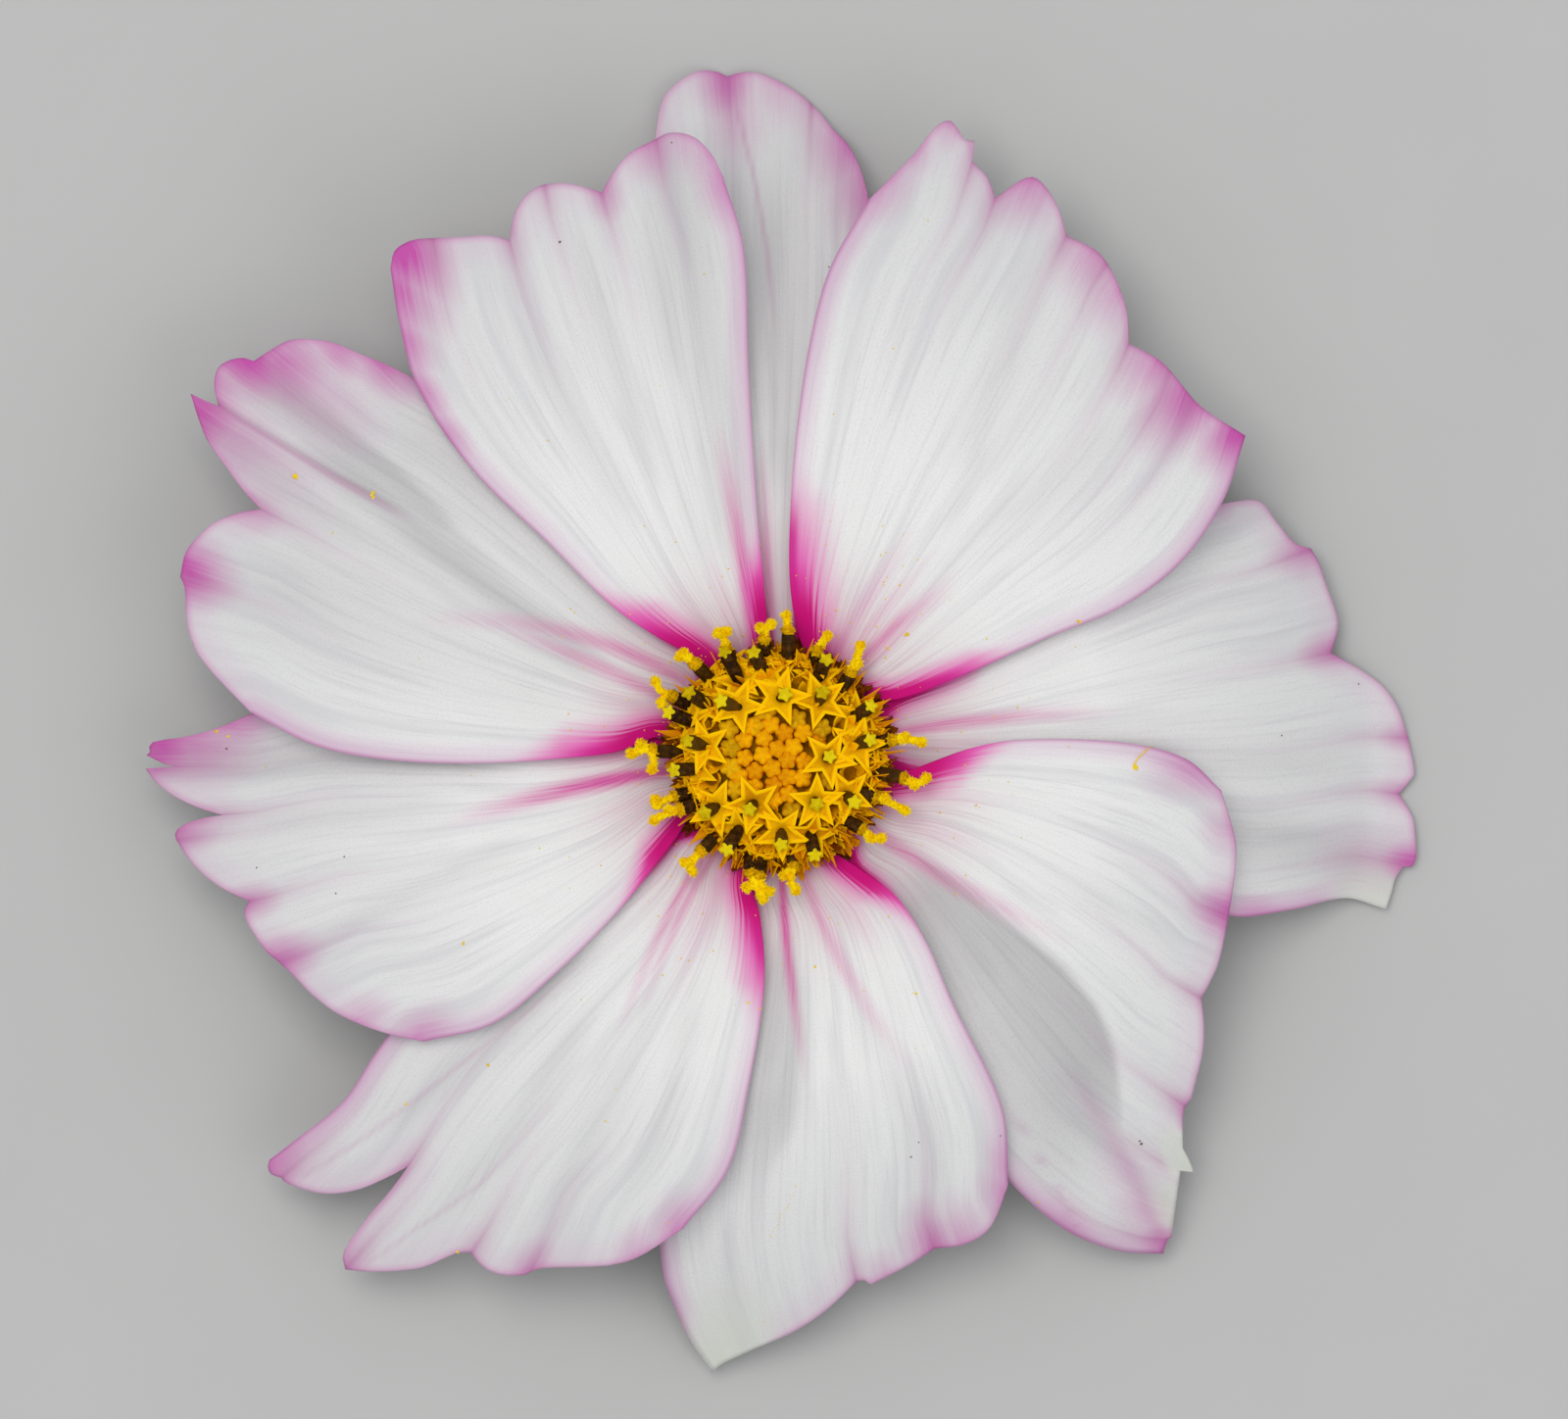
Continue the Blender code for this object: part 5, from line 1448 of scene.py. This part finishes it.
def bract_material(name, deep, light, rib, margin, margin_from, tip):
    """A leafy surface with paler or darker ribs, a thin margin and a tinted point."""
    n = Nodes(name)
    place = n.place()
    mottle = n.grain(place, 2600.0, 3, 0.6)
    shade = n.plus(n.times(mottle, 0.5), n.times(n.grain(place, 500.0), 0.6))
    shade = n.plus(shade, n.times(n.point_value("tone"), 0.2))
    color = n.blend(n.span(shade, 0.35, 0.8), deep, light)
    color = n.blend(n.span(n.point_value("rib"), 0.7, 1.0, 0, 0.75), color, rib)
    color = n.blend(n.span(n.point_value("edge"), margin_from, 1.0, 0, 0.9), color, margin)
    color = n.blend(n.span(n.point_value("way"), 0.86, 1.0, 0, 0.7), color, tip)
    return n.finish(color, 0.55, 0.3, mottle, bump=0.35, depth=0.00006)


def make_bracts():
    papery = bract_material("papery_bract", (0.36, 0.36, 0.1), (0.55, 0.56, 0.24), (0.3, 0.22, 0.06),
                            (0.74, 0.74, 0.6), 0.72, (0.48, 0.3, 0.14))
    leafy = bract_material("leafy_bract", (0.07, 0.17, 0.022), (0.15, 0.28, 0.05), (0.05, 0.12, 0.02),
                           (0.2, 0.32, 0.09), 0.8, (0.22, 0.12, 0.06))
    lay_bracts("inner_bracts", leaf_blank(INNER_LEAF, INNER_RISE, 0.2, 5, 0.42), INNER_HUB,
               INNER_RISE, 22.5, (-0.12, 0.1), papery, 5)
    lay_bracts("outer_bracts", leaf_blank(OUTER_LEAF, OUTER_RISE, 0.3, 3, 0.2), OUTER_HUB,
               OUTER_RISE, 0.0, (-0.2, 0.3), leafy, 8)


def stem_run():
    """The stem's middle line at even steps from the bloom down: distance out, height, radius, way."""
    run = [STEM_KNOTS[0][:2]] + smooth_run([knot[:2] for knot in STEM_KNOTS[1:]], STEM_STEP)
    path = np.array([tuple(point) for point in run])
    length = np.concatenate([[0], np.cumsum(np.hypot(*np.diff(path, axis=0).T))])
    knots = [length[np.argmin(np.hypot(path[:, 0] - out, path[:, 1] - up))] for out, up, _ in STEM_KNOTS]
    marks = np.linspace(0, length[-1], STEM_RINGS)
    radius = np.interp(marks, knots, [knot[2] for knot in STEM_KNOTS])
    return np.interp(marks, length, path[:, 0]), np.interp(marks, length, path[:, 1]), radius, marks


def stem_material():
    """Green, finely lined along its length, flushed with brown-red in long patches, pale at the cut."""
    n = Nodes("ribbed_green_stem")
    along = n.along()
    lines = n.grain(along, 1.0, 3, 0.6, (5.0, 0.12, 1))
    broad = n.grain(along, 1.0, stretch=(1.2, 0.05, 1))
    mottle = n.grain(n.place(), 3000.0, 3, 0.6)
    color = n.blend(n.span(lines, 0.35, 0.72), (0.085, 0.2, 0.028), (0.2, 0.36, 0.075))
    color = n.blend(n.span(broad, 0.52, 0.75, 0, 0.55), color, (0.24, 0.14, 0.06))
    color = n.blend(n.span(n.point_value("rib"), 0.72, 1.0, 0, 0.5), color, (0.26, 0.42, 0.12))
    color = n.blend(n.span(mottle, 0.55, 0.8, 0, 0.25), color, (0.3, 0.42, 0.16))
    pith = n.blend(mottle, (0.62, 0.66, 0.42), (0.76, 0.78, 0.6))
    color = n.blend(n.span(n.point_value("cut"), 0.35, 0.75), color, pith)
    height = n.plus(n.times(lines, 0.8), n.times(mottle, 0.3))
    return n.finish(color, 0.48, 0.35, height, bump=0.35, depth=0.00008)


def make_stem():
    """The ribbed stem, swollen under the bloom, bent over and cut square, with short hairs along it."""
    out, up, radius, marks = stem_run()
    last = STEM_RINGS - 1
    piece = ring_stack("stem", STEM_SIDES, [(1.0, ring * 0.1) for ring in range(STEM_RINGS + len(STEM_CUT))])
    bend = plan(1.0, STEM_AZIMUTH).to_3d()
    side = Vector((-bend.y, bend.x, 0))
    sway = 0.05 * out * np.sin(math.pi * np.minimum(out, STEM_REACH) / STEM_REACH)
    middles = [place_at(0, 0, u) + bend * o + side * s for o, s, u in zip(out, sway, up)]

    def placed(ring, angle):
        """Place of a point of the stem's skin or cut, and how far up a rib it is."""
        index = min(ring, last)
        ahead = (middles[min(last, index + 1)] - middles[max(0, index - 1)]).normalized()
        across = (side - ahead * side.dot(ahead)).normalized()
        way = marks[index]
        rib = 0.5 + 0.5 * math.cos(angle * STEM_RIBS + 0.12 * way)
        reach = radius[index] * (1 - RIB_DEPTH + RIB_DEPTH * rib)
        reach *= 1 + 0.012 * math.sin(way * 0.9) * math.sin(angle * 2 + way * 0.15)
        # the cut: the skin's rim stands a little proud of the pith
        share, beyond = STEM_CUT[ring - STEM_RINGS] if ring > last else (1, 0)
        round_it = across * math.cos(angle) + ahead.cross(across) * math.sin(angle)
        return middles[index] + ahead * beyond + round_it * reach * share, rib

    ribs, cuts, turns, ways = [], [], [], []
    for index, vert in enumerate(piece.data.vertices):
        ring, angle = index // STEM_SIDES, math.atan2(vert.co.y, vert.co.x)
        vert.co, rib = placed(ring, angle)
        vert.co.z = max(vert.co.z, 0.0)
        ribs.append(rib if ring <= last else 0)
        cuts.append(float(ring > STEM_RINGS))
        turns.append((angle / (2 * math.pi) + 0.5) * UV_ROUND)
        ways.append(marks[min(ring, last)])
    point_values(piece, rib=ribs, cut=cuts)
    along = piece.data.uv_layers.new(name="along")
    for face in piece.data.polygons:
        face_turns = [turns[vert] for vert in face.vertices]
        over_seam = max(face_turns) - min(face_turns) > UV_ROUND / 2
        for loop, vert, turn in zip(face.loop_indices, face.vertices, face_turns):
            along.data[loop].uv = (turn + UV_ROUND * (over_seam and turn < UV_ROUND / 2), ways[vert])

    draw = random.Random(4)
    pieces = [piece]
    for _ in range(STEM_HAIRS):
        ring, angle = draw.randrange(12, STEM_RINGS - 4), draw.uniform(-0.5, math.pi + 0.5)
        foot = placed(ring, angle)[0]
        lean = (foot - middles[ring]).normalized() + any_way(draw, 0.5)
        bpy.ops.mesh.primitive_cone_add(vertices=5, radius1=HAIR_RADII[0], radius2=HAIR_RADII[1],
                                        depth=draw.uniform(*HAIR_LENGTH), location=(0, 0, 0))
        hair = active_piece("hair")
        hair.data.transform(Matrix.Translation(foot + lean * 0.12) @ aim_at(lean))
        low = min(vert.co.z for vert in hair.data.vertices)
        hair.data.transform(Matrix.Translation((0, 0, max(0, 0.01 - low))))
        pieces.append(hair)
    hand_over(join_all("stem_stalk", pieces), stem_material(), "stem", 45)


# ---------------------------------------------------------------- stage

def lamp(name, place, size, power, color):
    """A soft lamp aimed at the origin, all in metres and watts."""
    bpy.ops.object.light_add(type="AREA", location=place)
    light = bpy.context.object
    light.name = name
    light.data.size = size
    light.data.energy = power
    light.data.color = color
    light.rotation_euler = (-Vector(place)).to_track_quat("-Z", "Y").to_euler()


def make_stage():
    """Pale floor, soft light from the upper left, and a camera straight above the bloom."""
    bpy.ops.mesh.primitive_plane_add(size=6.0, location=(0, 0, -0.00002))
    floor = active_piece("floor")
    n = Nodes("pale_floor")
    mottle = n.grain(n.place(), 60.0, 3)
    floor.data.materials.append(n.finish(n.blend(mottle, (0.5, 0.5, 0.49), (0.53, 0.53, 0.52)), 0.85, 0.1))

    world = bpy.data.worlds.new("soft_room")
    world.use_nodes = True
    sky = world.node_tree.nodes["Background"]
    sky.inputs["Color"].default_value = (0.95, 0.97, 1.0, 1)
    sky.inputs["Strength"].default_value = 0.56
    bpy.context.scene.world = world
    lamp("window_light", (-0.15, 0.17, 0.78), 0.5, 2.8, (1.0, 0.985, 0.965))
    lamp("fill_light", (0.5, -0.35, 0.6), 0.6, 1.0, (0.97, 0.98, 1.0))

    # a long lens, far enough away that the view is 97 mm wide at the petals
    lens, sensor, view_width, petal_height = 300, 36, 0.0968, 0.009
    bpy.ops.object.camera_add(rotation=(0, 0, 0), location=(
        BLOOM_X * MM + 0.0003, BLOOM_Y * MM + 0.00303, petal_height + view_width * lens / sensor))
    camera = bpy.context.object
    camera.data.lens = lens
    camera.data.sensor_width = sensor
    camera.data.clip_start, camera.data.clip_end = 0.01, 10
    bpy.context.scene.camera = camera
    bpy.context.scene.view_settings.view_transform = "Standard"


make_stage()
make_petals()
make_disc()
make_bracts()
make_stem()
